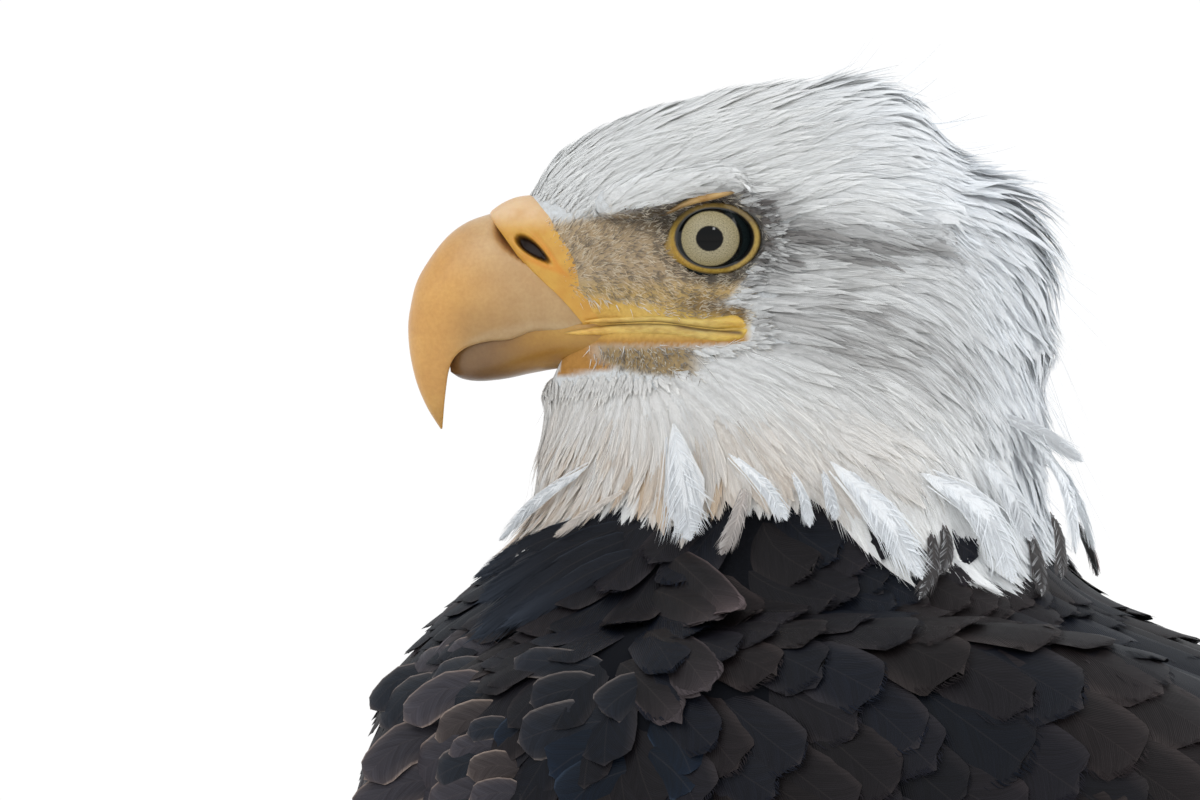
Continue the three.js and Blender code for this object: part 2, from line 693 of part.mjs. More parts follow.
// Rows of the feathers that hang round the lower leg: [f of the roots, how many, length, half width].
const TROUSER_ROWS = [[0.5, 6, 64, 16], [0.68, 5, 56, 14]];
function trousers(hand) {
  const stops = thighStops(hand);
  const run = new THREE.CatmullRomCurve3(stops.map(([p]) => p)).getLength();
  return TROUSER_ROWS.flatMap(([f, count, length, half], row) => {
    const list = [];
    for (let i = 0; i < count; i += 1) {
      const a = ((i + row / 2) / count) * 2 * Math.PI + spread(0.1);
      const reach = (length / run) * (1 + spread(0.12));
      const line = (share) => {
        const { point, normal } = limbAt(stops, f + reach * share, a);
        return { point: point.addScaledVector(normal, lerp(-2.5, 5.5, Math.max(share, 0))), normal };
      };
      list.push({ line, outline: RAGGED, half: half * (1 + spread(0.08)), thick: 1.3 });
    }
    return list;
  });
}
const SCUTE_RAISE = 1.1;
function tarsus(hand) {
  const top = ankle(hand);
  const stops = [[top, 10.5], [top.clone().lerp(footTop(hand), 0.5), 8.6], [footTop(hand), 10.5]];
  return limb(stops, 7, 7, 0, (a) => (Math.cos(a) > 0.4 ? SCUTE_RAISE : 0));
}
function toeLine(hand, heading, length) {
  const a = degToRad(heading);
  const out = vec(-Math.cos(a), -hand * Math.sin(a), 0);
  const root = footTop(hand).add(vec(0, 0, -7));
  const at = (share, z) => root.clone().addScaledVector(out, length * share).setZ(FLOOR_Z + z);
  return { out, root, points: [at(0, 12.4), at(0.35, 8.8), at(0.7, 7.4), at(1, 8)] };
}
function toe(hand, heading, length) {
  const { points } = toeLine(hand, heading, length);
  const radii = [TOE_RADIUS + 1.5, TOE_RADIUS, TOE_RADIUS - 0.2, TOE_RADIUS - 2];
  return limb(points.map((p, i) => [p, radii[i]]), 7, 6, 0, (a) => (Math.sin(a) > 0.4 ? SCUTE_RAISE : 0));
}
function claw(hand, heading, length, clawLength, grow = 0) {
  const { out, points } = toeLine(hand, heading, length);
  const start = points[3].clone().addScaledVector(out, 1);
  const reach = clawLength * 0.74;
  const at = (share, z) => start.clone().addScaledVector(out, reach * share).setZ(FLOOR_Z + z);
  const stops = [[at(-0.1, 10), 4.6], [at(0.3, 13), 4.2], [at(0.7, 10.4), 2.9], [at(0.97, 1.2), 0.9]];
  return limb(stops, 6, 5, grow);
}
// Everything below the floor is cut away, so that the pads stand on small flats.
function floorBlock() {
  const block = new THREE.BoxGeometry(600, 400, 60);
  block.translate(100, 0, FLOOR_Z - 30);
  return solidOf(block);
}

const floor = floorBlock();
for (const [side, hand] of sides) {
  const claws = TOES.map(([, heading, length, long]) => claw(hand, heading, length, long));
  const clawsGrown = unite(TOES.map(([, heading, length, long]) => claw(hand, heading, length, long, GAP)));
  const locks = trousers(hand);
  const thigh = (grow = 0) => unite([limb(thighStops(hand), 10, 6, grow), feathersOf(locks, grow)]);
  const pad = ellipsoid([15, 13, 9], footTop(hand).setZ(FLOOR_Z + 7.8), [0, 0, 0], 10);
  const foot = unite([pad, ...TOES.map(([, heading, length]) => toe(hand, heading, length))]);
  const shin = tarsus(hand);
  addNode(`foot_${side}`, "foot", unite([foot, shin]).subtract(unite([floor, clawsGrown, thigh(GAP)])));
  addNode(`thigh_${side}`, "dark", thigh().subtract(unite([torsoGrown, wings[hand > 0 ? 0 : 1].grown])));
  TOES.forEach(([name], i) => addNode(`claw_${side}_${name}`, "claw", claws[i].subtract(floor)));
}

// ---------------------------------------------------------------- the group
// The neck's turn, given to every vertex above its foot.
function turned(geometry) {
  const p = geometry.attributes.position;
  for (let i = 0; i < p.count; i += 1) {
    const a = HEAD_TURN * smoothstep(p.getZ(i), TURN_FROM_Z, TURN_TO_Z);
    const x = p.getX(i) - NECK_AXIS_X;
    const y = p.getY(i);
    p.setX(i, NECK_AXIS_X + x * Math.cos(a) - y * Math.sin(a));
    p.setY(i, x * Math.sin(a) + y * Math.cos(a));
  }
  return geometry;
}

function geometryOf(solid) {
  const mesh = solid.getMesh();
  const positions = new Float32Array(mesh.numVert * 3);
  for (let i = 0; i < mesh.numVert; i += 1) {
    positions.set(mesh.vertProperties.subarray(i * mesh.numProp, i * mesh.numProp + 3), i * 3);
  }
  const geometry = new THREE.BufferGeometry();
  geometry.setAttribute("position", new THREE.BufferAttribute(positions, 3));
  geometry.setIndex(new THREE.BufferAttribute(mesh.triVerts, 1));
  return turned(geometry);
}

const bird = new THREE.Group();
for (const [name, { finish, solid }] of nodes) {
  const [color, roughness] = COLOURS[finish];
  const material = new THREE.MeshStandardMaterial({ color, roughness, metalness: 0 });
  const mesh = new THREE.Mesh(geometryOf(solid), material);
  mesh.name = name;
  bird.add(mesh);
}
// The origin is on the floor under the middle of the whole bird.
const box = new THREE.Box3().setFromObject(bird);
const centre = box.getCenter(vec(0, 0, 0));
bird.position.set(-centre.x, -centre.y, EYE_HEIGHT);

export default bird;
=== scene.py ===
"""A life-size bald eagle: skin, bill, eyes, coat, wings, tail and feet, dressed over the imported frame."""

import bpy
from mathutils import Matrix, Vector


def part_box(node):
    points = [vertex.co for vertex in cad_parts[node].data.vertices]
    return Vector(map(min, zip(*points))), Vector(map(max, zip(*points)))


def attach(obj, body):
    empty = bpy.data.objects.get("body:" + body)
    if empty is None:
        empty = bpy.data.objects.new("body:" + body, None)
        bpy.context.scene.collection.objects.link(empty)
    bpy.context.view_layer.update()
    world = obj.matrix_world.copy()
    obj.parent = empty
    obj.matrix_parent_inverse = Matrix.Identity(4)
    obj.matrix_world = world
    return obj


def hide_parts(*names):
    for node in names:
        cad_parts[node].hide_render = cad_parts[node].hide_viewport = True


bl_info = {
    "name": "Bald Eagle",
    "version": (1, 0, 0),
    "blender": (4, 5, 0),
    "location": "View3D > Sidebar > Eagle",
    "description": "Builds a life-size bald eagle with its coat of feathers over a packed frame",
    "category": "Add Mesh",
}

import math

import bmesh
import bpy
import numpy as np
from mathutils import Vector
from mathutils.bvhtree import BVHTree
from mathutils.kdtree import KDTree

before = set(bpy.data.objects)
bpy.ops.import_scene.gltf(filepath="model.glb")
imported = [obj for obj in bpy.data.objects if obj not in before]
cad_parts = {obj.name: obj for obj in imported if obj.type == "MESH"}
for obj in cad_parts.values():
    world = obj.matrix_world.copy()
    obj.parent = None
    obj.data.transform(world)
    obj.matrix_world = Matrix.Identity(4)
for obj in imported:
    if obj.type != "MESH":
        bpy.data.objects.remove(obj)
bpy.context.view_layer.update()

# ---- the bird's own frame
# Outlines are in millimetres from the point midway between the eyes. The bird faces -X, its left is -Y.
MM = 0.001
HEAD_TURN = math.radians(10)  # the head's turn to its left
NECK_AXIS_X = 15.0  # about an upright line here
TURN_FROM_Z, TURN_TO_Z = -90.0, -40.0
EYE_BALL_Z = -0.5
FLOOR_Z = -462.0


def smoothstep(x, low, high):
    s = np.clip((np.asarray(x, float) - low) / (high - low), 0, 1)
    return s * s * (3 - 2 * s)


def mix(a, b, share):
    return a + (b - a) * share


def looked_up(table, x):
    """The value that a table of places and values gives at x."""
    return np.interp(x, table[:, 0], table[:, 1])


def turn_head(points):
    """The neck's turn, given to points above its foot."""
    p = np.array(points, float)
    a = HEAD_TURN * smoothstep(p[..., 2], TURN_FROM_Z, TURN_TO_Z)
    x, y = p[..., 0] - NECK_AXIS_X, p[..., 1].copy()
    p[..., 0] = NECK_AXIS_X + x * np.cos(a) - y * np.sin(a)
    p[..., 1] = x * np.sin(a) + y * np.cos(a)
    return p


def eyes_middle():
    """Where the middle of the two eyeballs is in the frame, in metres."""
    corners = [c for side in ("left", "right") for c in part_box(f"eye_{side}")]
    return np.array(sum(corners, Vector()) / len(corners))


ORIGIN = eyes_middle() - turn_head([0.0, 0.0, EYE_BALL_Z]) * MM


def to_model(points):
    """Bird millimetres to metres in the frame."""
    return turn_head(points) * MM + ORIGIN


# ---- ringed surfaces
# Each ring lies between two points of the middle plane: [back x, back z, belly x, belly z, half width].
TRUNK = np.array([
    [-34, 18, -44, -34, 11],
    [-8, 28, -43, -38, 15],
    [22, 31, -42, -42, 21],
    [46, 22, -42, -48, 29],
    [60, 2, -42, -54, 37],
    [67, -22, -42, -60, 43],
    [73, -47, -43, -66, 50],
    [80, -70, -47, -73, 57],
    [92, -85, -57, -83, 66],
    [107, -93, -71, -97, 76],
    [124, -101, -83, -118, 85],
    [143, -111, -89, -145, 91],
    [165, -124, -84, -177, 93],
    [188, -140, -63, -210, 91],
    [212, -159, -22, -240, 87],
    [234, -180, 34, -262, 80],
    [254, -202, 95, -280, 72],
    [272, -222, 155, -293, 62],
    [287, -240, 210, -299, 50],
    [298, -256, 254, -302, 37],
    [310, -271, 286, -303, 21],
    [338, -282, 320, -312, 23],
    [375, -300, 360, -330, 26],
], float)
TORSO_END = 20
HEAD = np.array([
    [-45.5, 10.2, -33.5, -20.8, 13.6],
    [-38, 16.5, -28, -33, 15.5],
    [-26, 24, -20, -37, 18.5],
    [-13, 29, -9, -41, 22],
    [0, 32, 3, -44, 26],
    [14, 33.5, 14, -46, 30.5],
    [28, 32.5, 26, -46, 34],
    [42, 27, 38, -42, 33],
    [52, 18, 48, -34, 27],
], float)
FULLNESS = 0.92


def rows(table, t):
    """Rows of a ring table between its rings, on a Catmull-Rom curve."""
    last = len(table) - 1
    t = np.clip(np.asarray(t, float), 0, last)
    k = np.clip(np.floor(t).astype(int), 0, last - 1)
    f = (t - k)[..., None]
    p, q, r, s = (table[np.clip(k + d, 0, last)] for d in (-1, 0, 1, 2))
    return 0.5 * (2 * q + (r - p) * f + (2 * p - 5 * q + 4 * r - s) * f ** 2 + (3 * q - p - 3 * r + s) * f ** 3)


def on_ring(table, t, phi):
    """Points of a ringed surface: phi is 0 on the back, 90 degrees on the bird's left, 180 on the belly."""
    t, phi = np.broadcast_arrays(np.asarray(t, float), np.asarray(phi, float))
    row = rows(table, t)
    c, s = np.cos(phi), np.sin(phi)
    c, s = (np.sign(v) * np.abs(v) ** FULLNESS for v in (c, s))
    x = (row[..., 0] + row[..., 2]) / 2 + c * (row[..., 0] - row[..., 2]) / 2
    z = (row[..., 1] + row[..., 3]) / 2 + c * (row[..., 1] - row[..., 3]) / 2
    return np.stack([x, -row[..., 4] * s, z], -1)


def unit(v):
    return v / np.maximum(np.linalg.norm(v, axis=-1, keepdims=True), 1e-9)


def frame_at(table, t, phi):
    """Points of a ringed surface with their outward normals and the run of the surface along the bird."""
    d = 0.04
    point = on_ring(table, t, phi)
    along = (on_ring(table, t + d, phi) - on_ring(table, t - d, phi)) / (2 * d)
    around = (on_ring(table, t, phi + d) - on_ring(table, t, phi - d)) / (2 * d)
    normal = unit(np.cross(around, along))
    row = rows(table, np.broadcast_to(t, point.shape[:-1]))
    middle = np.stack([(row[..., 0] + row[..., 2]) / 2, 0 * row[..., 0], (row[..., 1] + row[..., 3]) / 2], -1)
    flip = np.sum(normal * (point - middle), -1, keepdims=True) < 0
    return point, np.where(flip, -normal, normal), along


# ---- meshes
def fresh(name):
    mesh = bpy.data.meshes.new(name)
    obj = bpy.data.objects.new(name, mesh)
    bpy.context.scene.collection.objects.link(obj)
    return obj


def coords(mesh):
    co = np.empty(len(mesh.vertices) * 3)
    mesh.vertices.foreach_get("co", co)
    return co.reshape(-1, 3)


def set_coords(mesh, co):
    mesh.vertices.foreach_set("co", np.ascontiguousarray(co, dtype=np.float32).ravel())
    mesh.update()


def tube(bm, surface, sides, rings):
    """Adds a closed body: a sphere whose rows of points move to surface(share along, share round)."""
    made = bmesh.ops.create_uvsphere(bm, u_segments=sides, v_segments=rings + 1, radius=1)
    verts = made["verts"]
    co = np.array([v.co for v in verts])
    row = np.round(np.arccos(np.clip(co[:, 2], -1, 1)) / math.pi * (rings + 1)).astype(int)
    around = np.arctan2(co[:, 1], co[:, 0]) / (2 * math.pi)
    along = np.clip((row - 1) / (rings - 1), 0, 1)
    target = surface(along, around)
    for end, share in ((0, 0.0), (rings + 1, 1.0)):
        ring = np.linspace(0, 1, sides, endpoint=False)
        target[row == end] = surface(np.full(sides, share), ring).mean(0)
    for v, p in zip(verts, target):
        v.co = p
    return verts


def triangles(mesh):
    """A mesh's corners, its triangles and its search tree."""
    bm = bmesh.new()
    bm.from_mesh(mesh)
    bmesh.ops.triangulate(bm, faces=bm.faces)
    found = (np.array([v.co for v in bm.verts]), np.array([[v.index for v in f.verts] for f in bm.faces]),
             BVHTree.FromBMesh(bm))
    bm.free()
    return found


def body(name, surface, sides, rings):
    """A piece of one closed body."""
    bm = bmesh.new()
    tube(bm, surface, sides, rings)
    return from_bmesh(name, bm)


def from_bmesh(name, bm, smooth=True):
    bmesh.ops.recalc_face_normals(bm, faces=bm.faces)
    if bm.calc_volume(signed=True) < 0:
        bmesh.ops.reverse_faces(bm, faces=bm.faces)
    obj = fresh(name)
    bm.to_mesh(obj.data)
    bm.free()
    if smooth:
        obj.data.shade_smooth()
    return obj


def applied(obj):
    """Gives the object the mesh that its modifiers make, and drops them."""
    graph = bpy.context.evaluated_depsgraph_get()
    made = bpy.data.meshes.new_from_object(obj.evaluated_get(graph), depsgraph=graph)
    obj.modifiers.clear()
    old, obj.data = obj.data, made
    bpy.data.meshes.remove(old)
    return obj


def remeshed(obj, voxel, smooth_steps):
    remesh = obj.modifiers.new("Remesh", "REMESH")
    remesh.mode = "VOXEL"
    remesh.voxel_size = voxel
    remesh.use_smooth_shade = True
    smooth = obj.modifiers.new("Smooth", "SMOOTH")
    smooth.factor = 0.5
    smooth.iterations = smooth_steps
    return applied(obj)


def tinted(obj, colours):
    """Stores one linear colour for each vertex."""
    layer = obj.data.color_attributes.new("Tint", "FLOAT_COLOR", "POINT")
    rgba = np.ones((len(obj.data.vertices), 4), np.float32)
    rgba[:, :3] = colours
    layer.data.foreach_set("color", rgba.ravel())


def finished(obj, slot, material, *nodes):
    """Places a piece made in bird millimetres, gives it its finish and hides the parts of the frame that it stands
    for; its slot is not used.
    """
    set_coords(obj.data, to_model(coords(obj.data)))
    obj.data.materials.clear()
    obj.data.materials.append(material)
    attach(obj, "root")
    if nodes:
        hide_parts(*nodes)
    return obj


# ---- colours and materials
def linear(code):
    """An sRGB hex value as linear red, green and blue."""
    code = code.lstrip("#")
    srgb = np.array([int(code[i:i + 2], 16) for i in (0, 2, 4)]) / 255
    return np.where(srgb <= 0.04045, srgb / 12.92, ((srgb + 0.055) / 1.055) ** 2.4)


def toward(colours, code, share):
    """Linear colours mixed with an sRGB hex value by a share for each."""
    return mix(colours, linear(code), share[:, None])


def rgba(colour):
    if isinstance(colour, str):
        colour = linear(colour)
    return (*[float(c) for c in colour][:3], 1.0)


def add(tree, kind, inputs=None, **settings):
    """Adds a node with its settings; an input takes a link, a number or a colour."""
    node = tree.nodes.new(kind)
    for key, value in settings.items():
        if hasattr(node, key):
            setattr(node, key, value)
        else:
            node.inputs[key.replace("_", " ")].default_value = value
    for key, value in (inputs or {}).items():
        if isinstance(value, bpy.types.NodeSocket):
            tree.links.new(value, node.inputs[key])
        else:
            node.inputs[key].default_value = rgba(value) if isinstance(value, str) else value
    return node


def maths(tree, operation, *values):
    """The result of a sum on sockets and numbers."""
    return add(tree, "ShaderNodeMath", dict(enumerate(values)), operation=operation).outputs[0]


def ramp(tree, source, stops):
    node = add(tree, "ShaderNodeValToRGB", {"Fac": source})
    while len(node.color_ramp.elements) < len(stops):
        node.color_ramp.elements.new(0.5)
    for element, (place, colour) in zip(node.color_ramp.elements, stops):
        element.position = place
        element.color = rgba(colour)
    return node.outputs["Color"]


def new_material(name, **principled):
    material = bpy.data.materials.new(name)
    material.use_nodes = True
    tree = material.node_tree
    tree.nodes.clear()
    shader = add(tree, "ShaderNodeBsdfPrincipled", **principled)
    add(tree, "ShaderNodeOutputMaterial", {"Surface": shader.outputs["BSDF"]})
    return material, tree, shader


def painted(shader, colour):
    shader.id_data.links.new(colour, shader.inputs["Base Color"])


def tint_of(tree):
    return add(tree, "ShaderNodeAttribute", attribute_name="Tint").outputs["Color"]


def place_of(tree):
    """The place on the piece, on which patterns lie."""
    return add(tree, "ShaderNodeTexCoord").outputs["Object"]


def noise_of(tree, size_mm, detail=3.0, vector=None, roughness=0.55):
    """Noise whose blotches are about size_mm across."""
    if vector is None:
        vector = place_of(tree)
    settings = {"Scale": 1000 / size_mm, "Detail": detail, "Roughness": roughness}
    return add(tree, "ShaderNodeTexNoise", {"Vector": vector}, **settings).outputs["Fac"]


def mixed(tree, kind, factor, a, b):
    """Two colours mixed."""
    node = add(tree, "ShaderNodeMix", {0: factor, 6: a, 7: b}, data_type="RGBA", blend_type=kind)
    return node.outputs[2]


def bumped(tree, shader, height, distance_mm, strength=1.0):
    bump = add(tree, "ShaderNodeBump", {"Height": height}, Strength=strength, Distance=distance_mm * MM)
    tree.links.new(bump.outputs["Normal"], shader.inputs["Normal"])


# ---- settings
class EAGLE_PG_settings(bpy.types.PropertyGroup):
    """What a user would change on the bird."""

    iris: bpy.props.StringProperty(name="Iris", description="Colour of the iris, as sRGB hex", default="#8B8269")
    horn: bpy.props.StringProperty(name="Horn", description="The bill at its hook, as sRGB hex", default="#D6A259")
    horn_base: bpy.props.StringProperty(
        name="Horn base", description="The bill near the cere, as sRGB hex", default="#CBA777")
    cere: bpy.props.StringProperty(name="Cere", description="Colour of the cere, as sRGB hex", default="#D3A245")
    view_width: bpy.props.FloatProperty(
        name="View width", description="Width of the view at the head", default=0.2857, unit="LENGTH")
    view_distance: bpy.props.FloatProperty(
        name="View distance", description="From the camera to the head", default=4.0, unit="LENGTH")
    view_azimuth: bpy.props.FloatProperty(
        name="View azimuth", description="Turn of the view round the bird", default=math.radians(10), unit="ROTATION")


# ---- stage and camera
EYE_PIXEL = (714.0, 239.0)  # where the eye lies in the 1200 x 800 view
VIEW_PIXELS = (1200, 800)
SENSOR_MM = 36.0
LEFT_EYE = np.array([0.0, -24.0, 0.0])


def viewpoint(s):
    """The place of the side view in millimetres, and its ways to the right and back."""
    a = s.view_azimuth
    right, back = np.array([math.cos(a), math.sin(a), 0.0]), np.array([math.sin(a), -math.cos(a), 0.0])
    scale = s.view_width / VIEW_PIXELS[0] / MM
    away = -right * (EYE_PIXEL[0] - VIEW_PIXELS[0] / 2) + np.array([0.0, 0.0, EYE_PIXEL[1] - VIEW_PIXELS[1] / 2])
    return turn_head(LEFT_EYE) + away * scale + back * s.view_distance / MM, right, back


class EAGLE_OT_stage(bpy.types.Operator):
    """Adds the pale floor, the soft studio light and the camera"""

    bl_idname = "eagle.stage"
    bl_label = "Stage"

    def execute(self, context):
        s = context.scene.eagle
        bm = bmesh.new()
        bmesh.ops.create_grid(bm, x_segments=1, y_segments=1, size=6)
        floor = from_bmesh("floor", bm, smooth=False)
        material, tree, shader = new_material("studio_floor_pale_card", Roughness=0.9)
        shade = noise_of(tree, 300, 2)
        painted(shader, ramp(tree, shade, [(0.3, "#ECEBE8"), (0.7, "#F1F0EE")]))
        floor.data.materials.append(material)
        self.add_lights(context)
        self.add_camera(context, s)
        context.scene.view_settings.view_transform = "Standard"
        return {"FINISHED"}

    def add_lights(self, context):
        world = bpy.data.worlds.new("studio")
        context.scene.world = world
        world.use_nodes = True
        tree = world.node_tree
        background = tree.nodes["Background"]
        way = add(tree, "ShaderNodeTexCoord").outputs["Generated"]
        height = add(tree, "ShaderNodeSeparateXYZ", {"Vector": way}).outputs["Z"]
        level = add(tree, "ShaderNodeMapRange", {"Value": height})
        level.inputs["From Min"].default_value = -1.0
        # a bright white wall all round, a softer cool ceiling and a warmer floor
        tint = ramp(tree, level.outputs["Result"], [
            (0.0, "#C8C0B6"), (0.44, "#F4F2F0"), (0.48, "#FFFFFF"), (0.53, "#FFFFFF"), (0.60, "#F1F5F9"),
            (1.0, "#F1F6FB"),
        ])
        tree.links.new(tint, background.inputs["Color"])
        background.inputs["Strength"].default_value = 1.02
        for name, place, size, power in (
            ("key", (-1.6, -1.9, 2.6), 2.0, 16),
            ("rim", (1.9, 0.5, 1.6), 1.6, 22),
            ("catch", (0.42, -3.6, 1.95), 0.35, 7),  # the small glint in the eye
        ):
            light = bpy.data.lights.new(name, "AREA")
            light.size = size
            light.energy = power
            lamp = bpy.data.objects.new(name, light)
            lamp.location = place
            aim = Vector(ORIGIN) - Vector(place)
            lamp.rotation_euler = aim.to_track_quat("-Z", "Y").to_euler()
            context.scene.collection.objects.link(lamp)

    def add_camera(self, context, s):
        camera = bpy.data.cameras.new("camera")
        camera.sensor_width = SENSOR_MM
        camera.lens = SENSOR_MM * s.view_distance / s.view_width
        camera.clip_end = 30
        holder = bpy.data.objects.new("camera", camera)
        place, _, back = viewpoint(s)
        holder.location = place * MM + ORIGIN
        holder.rotation_euler = Vector(-back).to_track_quat("-Z", "Y").to_euler()
        context.scene.collection.objects.link(holder)
        context.scene.camera = holder


# ---- the face's own places
EYE_SIDE, EYE_RADIUS = 15.0, 12.0
EYE_LOOK = math.radians(5)  # forward of sideways
LID_CENTRE = (0.1, 0.25)
LID_INNER = (9.0, 7.0)
LID_OUTER = (10.8, 8.3)
# Across the lids: [share, reach from the eye's middle over the opening's, height from foot to top]
LID_PROFILE = np.array([
    [0, 0.955, 0], [0.12, 0.97, 0.45], [0.25, 1.01, 0.85], [0.4, 1.06, 1], [0.55, 1.11, 1], [0.7, 1.17, 0.97],
    [0.82, 1.215, 0.88], [0.92, 1.24, 0.6], [1, 1.25, 0],
])


def orbit_floor(x):
    """How far out the skin lies round the lids."""
    return 23.2 + 0.2 * x


MOUTH_LINE = np.array([
    [-43.1, -21.7], [-36, -21.9], [-28.6, -20.5], [-16.4, -20], [-10.2, -20.2], [-4.3, -21.5], [1.2, -21.9],
    [6.9, -22.4],
])

def lid_reach(x, z, size=LID_OUTER):
    """How far a place is from the eye's middle, 1 on the edge of the lids."""
    return np.hypot((x - LID_CENTRE[0]) / size[0], (z - LID_CENTRE[1]) / size[1])


def lores(x, z):
    """1 on the bare, bristly skin in front of and under the eye, 0 on the feathers."""
    top = np.interp(x, [-36, -32, -22.5, -13.4, -4, 4, 10], [4.0, 4.5, 6.7, 8.3, 10.2, 11, 4])
    bottom = np.interp(x, [-36, -33.4, -11.5, -4.3, 3, 9], [-13.0, -13.3, -15.8, -17, -14.5, -8])
    inside = smoothstep(top - z, -1.2, 1.2) * smoothstep(z - bottom, -1.2, 1.2) * smoothstep(9.5 - x, 0, 5)
    band = smoothstep(2.4 - np.abs(z - np.interp(x, [-16, 8], [-15.4, -18.4])), 0, 0.8)
    return np.maximum(inside, band * smoothstep(x, -18, -14) * smoothstep(9 - x, 0, 2))


def gape_skin(x, z):
    """1 on the bare yellow skin along the mouth."""
    top = np.interp(x, [-40, -33.4, -11.5, 6.9], [-11.5, -12.6, -16.2, -19.5])
    bottom = np.interp(x, [-40, -25, -14, 8], [-33, -31.0, -26.0, -25])
    return smoothstep(top - z, -0.6, 0.6) * smoothstep(z - bottom, -0.6, 0.6) * smoothstep(9 - x, 0, 2)


def jaw_bristles(x, z):
    """1 on the patch of bristles on the side of the lower jaw."""
    low = np.interp(x, [-32, -20, -4], [-27.5, -31.5, -33.5])
    top = np.interp(x, [-32, -24, -4], [-24.6, -25.2, -25.6])
    level = smoothstep(z - low, -0.8, 0.8) * smoothstep(top - z, -0.5, 0.8)
    return level * smoothstep(x, -31, -25) * smoothstep(-x, 0, 8)


# ---- skin
def skin_inset(points):
    """How deep the skin lies under the solids, for the coat that covers it."""
    x, z = points[..., 0], points[..., 2]
    face = smoothstep(-x, -14, 26)
    return mix(mix(2.6, 0.9, face), 0.3, lores(x, z) * (np.abs(points[..., 1]) > 9))


def head_surface(along, around):
    t = along * (len(HEAD) - 1)
    phi = around * 2 * math.pi
    point, normal, _ = frame_at(HEAD, t, phi)
    return point - normal * skin_inset(point)[..., None]


def trunk_surface(t_from, t_to, inset):
    def surface(along, around):
        t = mix(t_from, t_to, along)
        point, normal, _ = frame_at(TRUNK, t, around * 2 * math.pi)
        return point - normal * np.interp(t, [3, 4.5, 8, 18, 20], [2.6, inset, 2.0, 2.0, 0.5])[..., None]
    return surface


def ellipsoid(bm, centre, radii, tilt=0.0, yaw=0.0, sides=32):
    made = bmesh.ops.create_uvsphere(bm, u_segments=sides, v_segments=sides // 2, radius=1)
    co = np.array([v.co for v in made["verts"]]) * radii
    ct, st, cy, sy = math.cos(tilt), math.sin(tilt), math.cos(yaw), math.sin(yaw)
    co = co @ np.array([[ct, 0, st], [0, 1, 0], [-st, 0, ct]])  # tilt lifts the +X end
    co = co @ np.array([[cy, sy, 0], [-sy, cy, 0], [0, 0, 1]])
    for v, p in zip(made["verts"], co + centre):
        v.co = p


# The left leg from the hip to the ankle
THIGH_LINE = [[94, -36, -200], [100, -44, -247], [108, -49, -300], [120, -48, -340], [117, -48, -374]]
THIGH_RADII = [16.5, 44.5, 40.5, 25.5, 11.5]


def curve_through(points, share):
    """Points and directions of a smooth curve through a few points."""
    table = np.asarray(points, float)
    t = np.asarray(share, float) * (len(table) - 1)
    d = 0.02
    return rows(table, t), unit(rows(table, t + d) - rows(table, t - d))


def limb_surface(points, radii, flat=1.0):
    """A round limb through points, for tube(); flat under 1 makes it narrower across."""
    radii = np.asarray(radii, float)[:, None]

    def surface(along, around):
        centre, direction = curve_through(points, along)
        radius = rows(radii, along * (len(radii) - 1))
        sideways = unit(np.cross([0.0, 1.0, 0.0], direction))
        up = unit(np.cross(direction, sideways))
        a = (around * 2 * math.pi)[..., None]
        return centre + radius * (np.cos(a) * sideways + flat * np.sin(a) * up)
    return surface


# How far the coat's longest tips stand off the body along the bird's outline, by degrees round (20, -20): 0 is the
# nape, 90 the crown, 150 the forehead and 200 the throat.
OUTLINE_LOFT = np.array([
    [-60, 2], [-40, 6], [-33, 12], [-27, 11], [-20, 7], [-15, 7], [-9, 15], [1, 14], [10, 19], [20, 21], [28, 20],
    [39, 12], [50, 6], [58, 9], [66, 13], [74, 11], [84, 7.5], [94, 6.5], [104, 6], [115, 4], [130, 4], [143, 4.5],
    [152, 6], [160, 4], [180, 2], [203, 5.5], [217, 6], [240, 4],
])


DOWN_SHARE = 0.72  # of that, filled by the down that lies under the coat


def loft(points, normals, blur=0.0):
    """How far feathers stand off the body: most along the outline of the back of the head."""
    x, z = points[..., 0], points[..., 2]
    turn = np.mod(np.degrees(np.arctan2(z + 20, x - 20)) + 90, 360) - 90
    out = sum(looked_up(OUTLINE_LOFT, turn + blur * d) for d in (-1, 0, 1)) / 3
    return out * smoothstep(1 - np.abs(normals[..., 1]), 0.05, 0.9)


def down(points, normals):
    return DOWN_SHARE * loft(points, normals, 9.0)


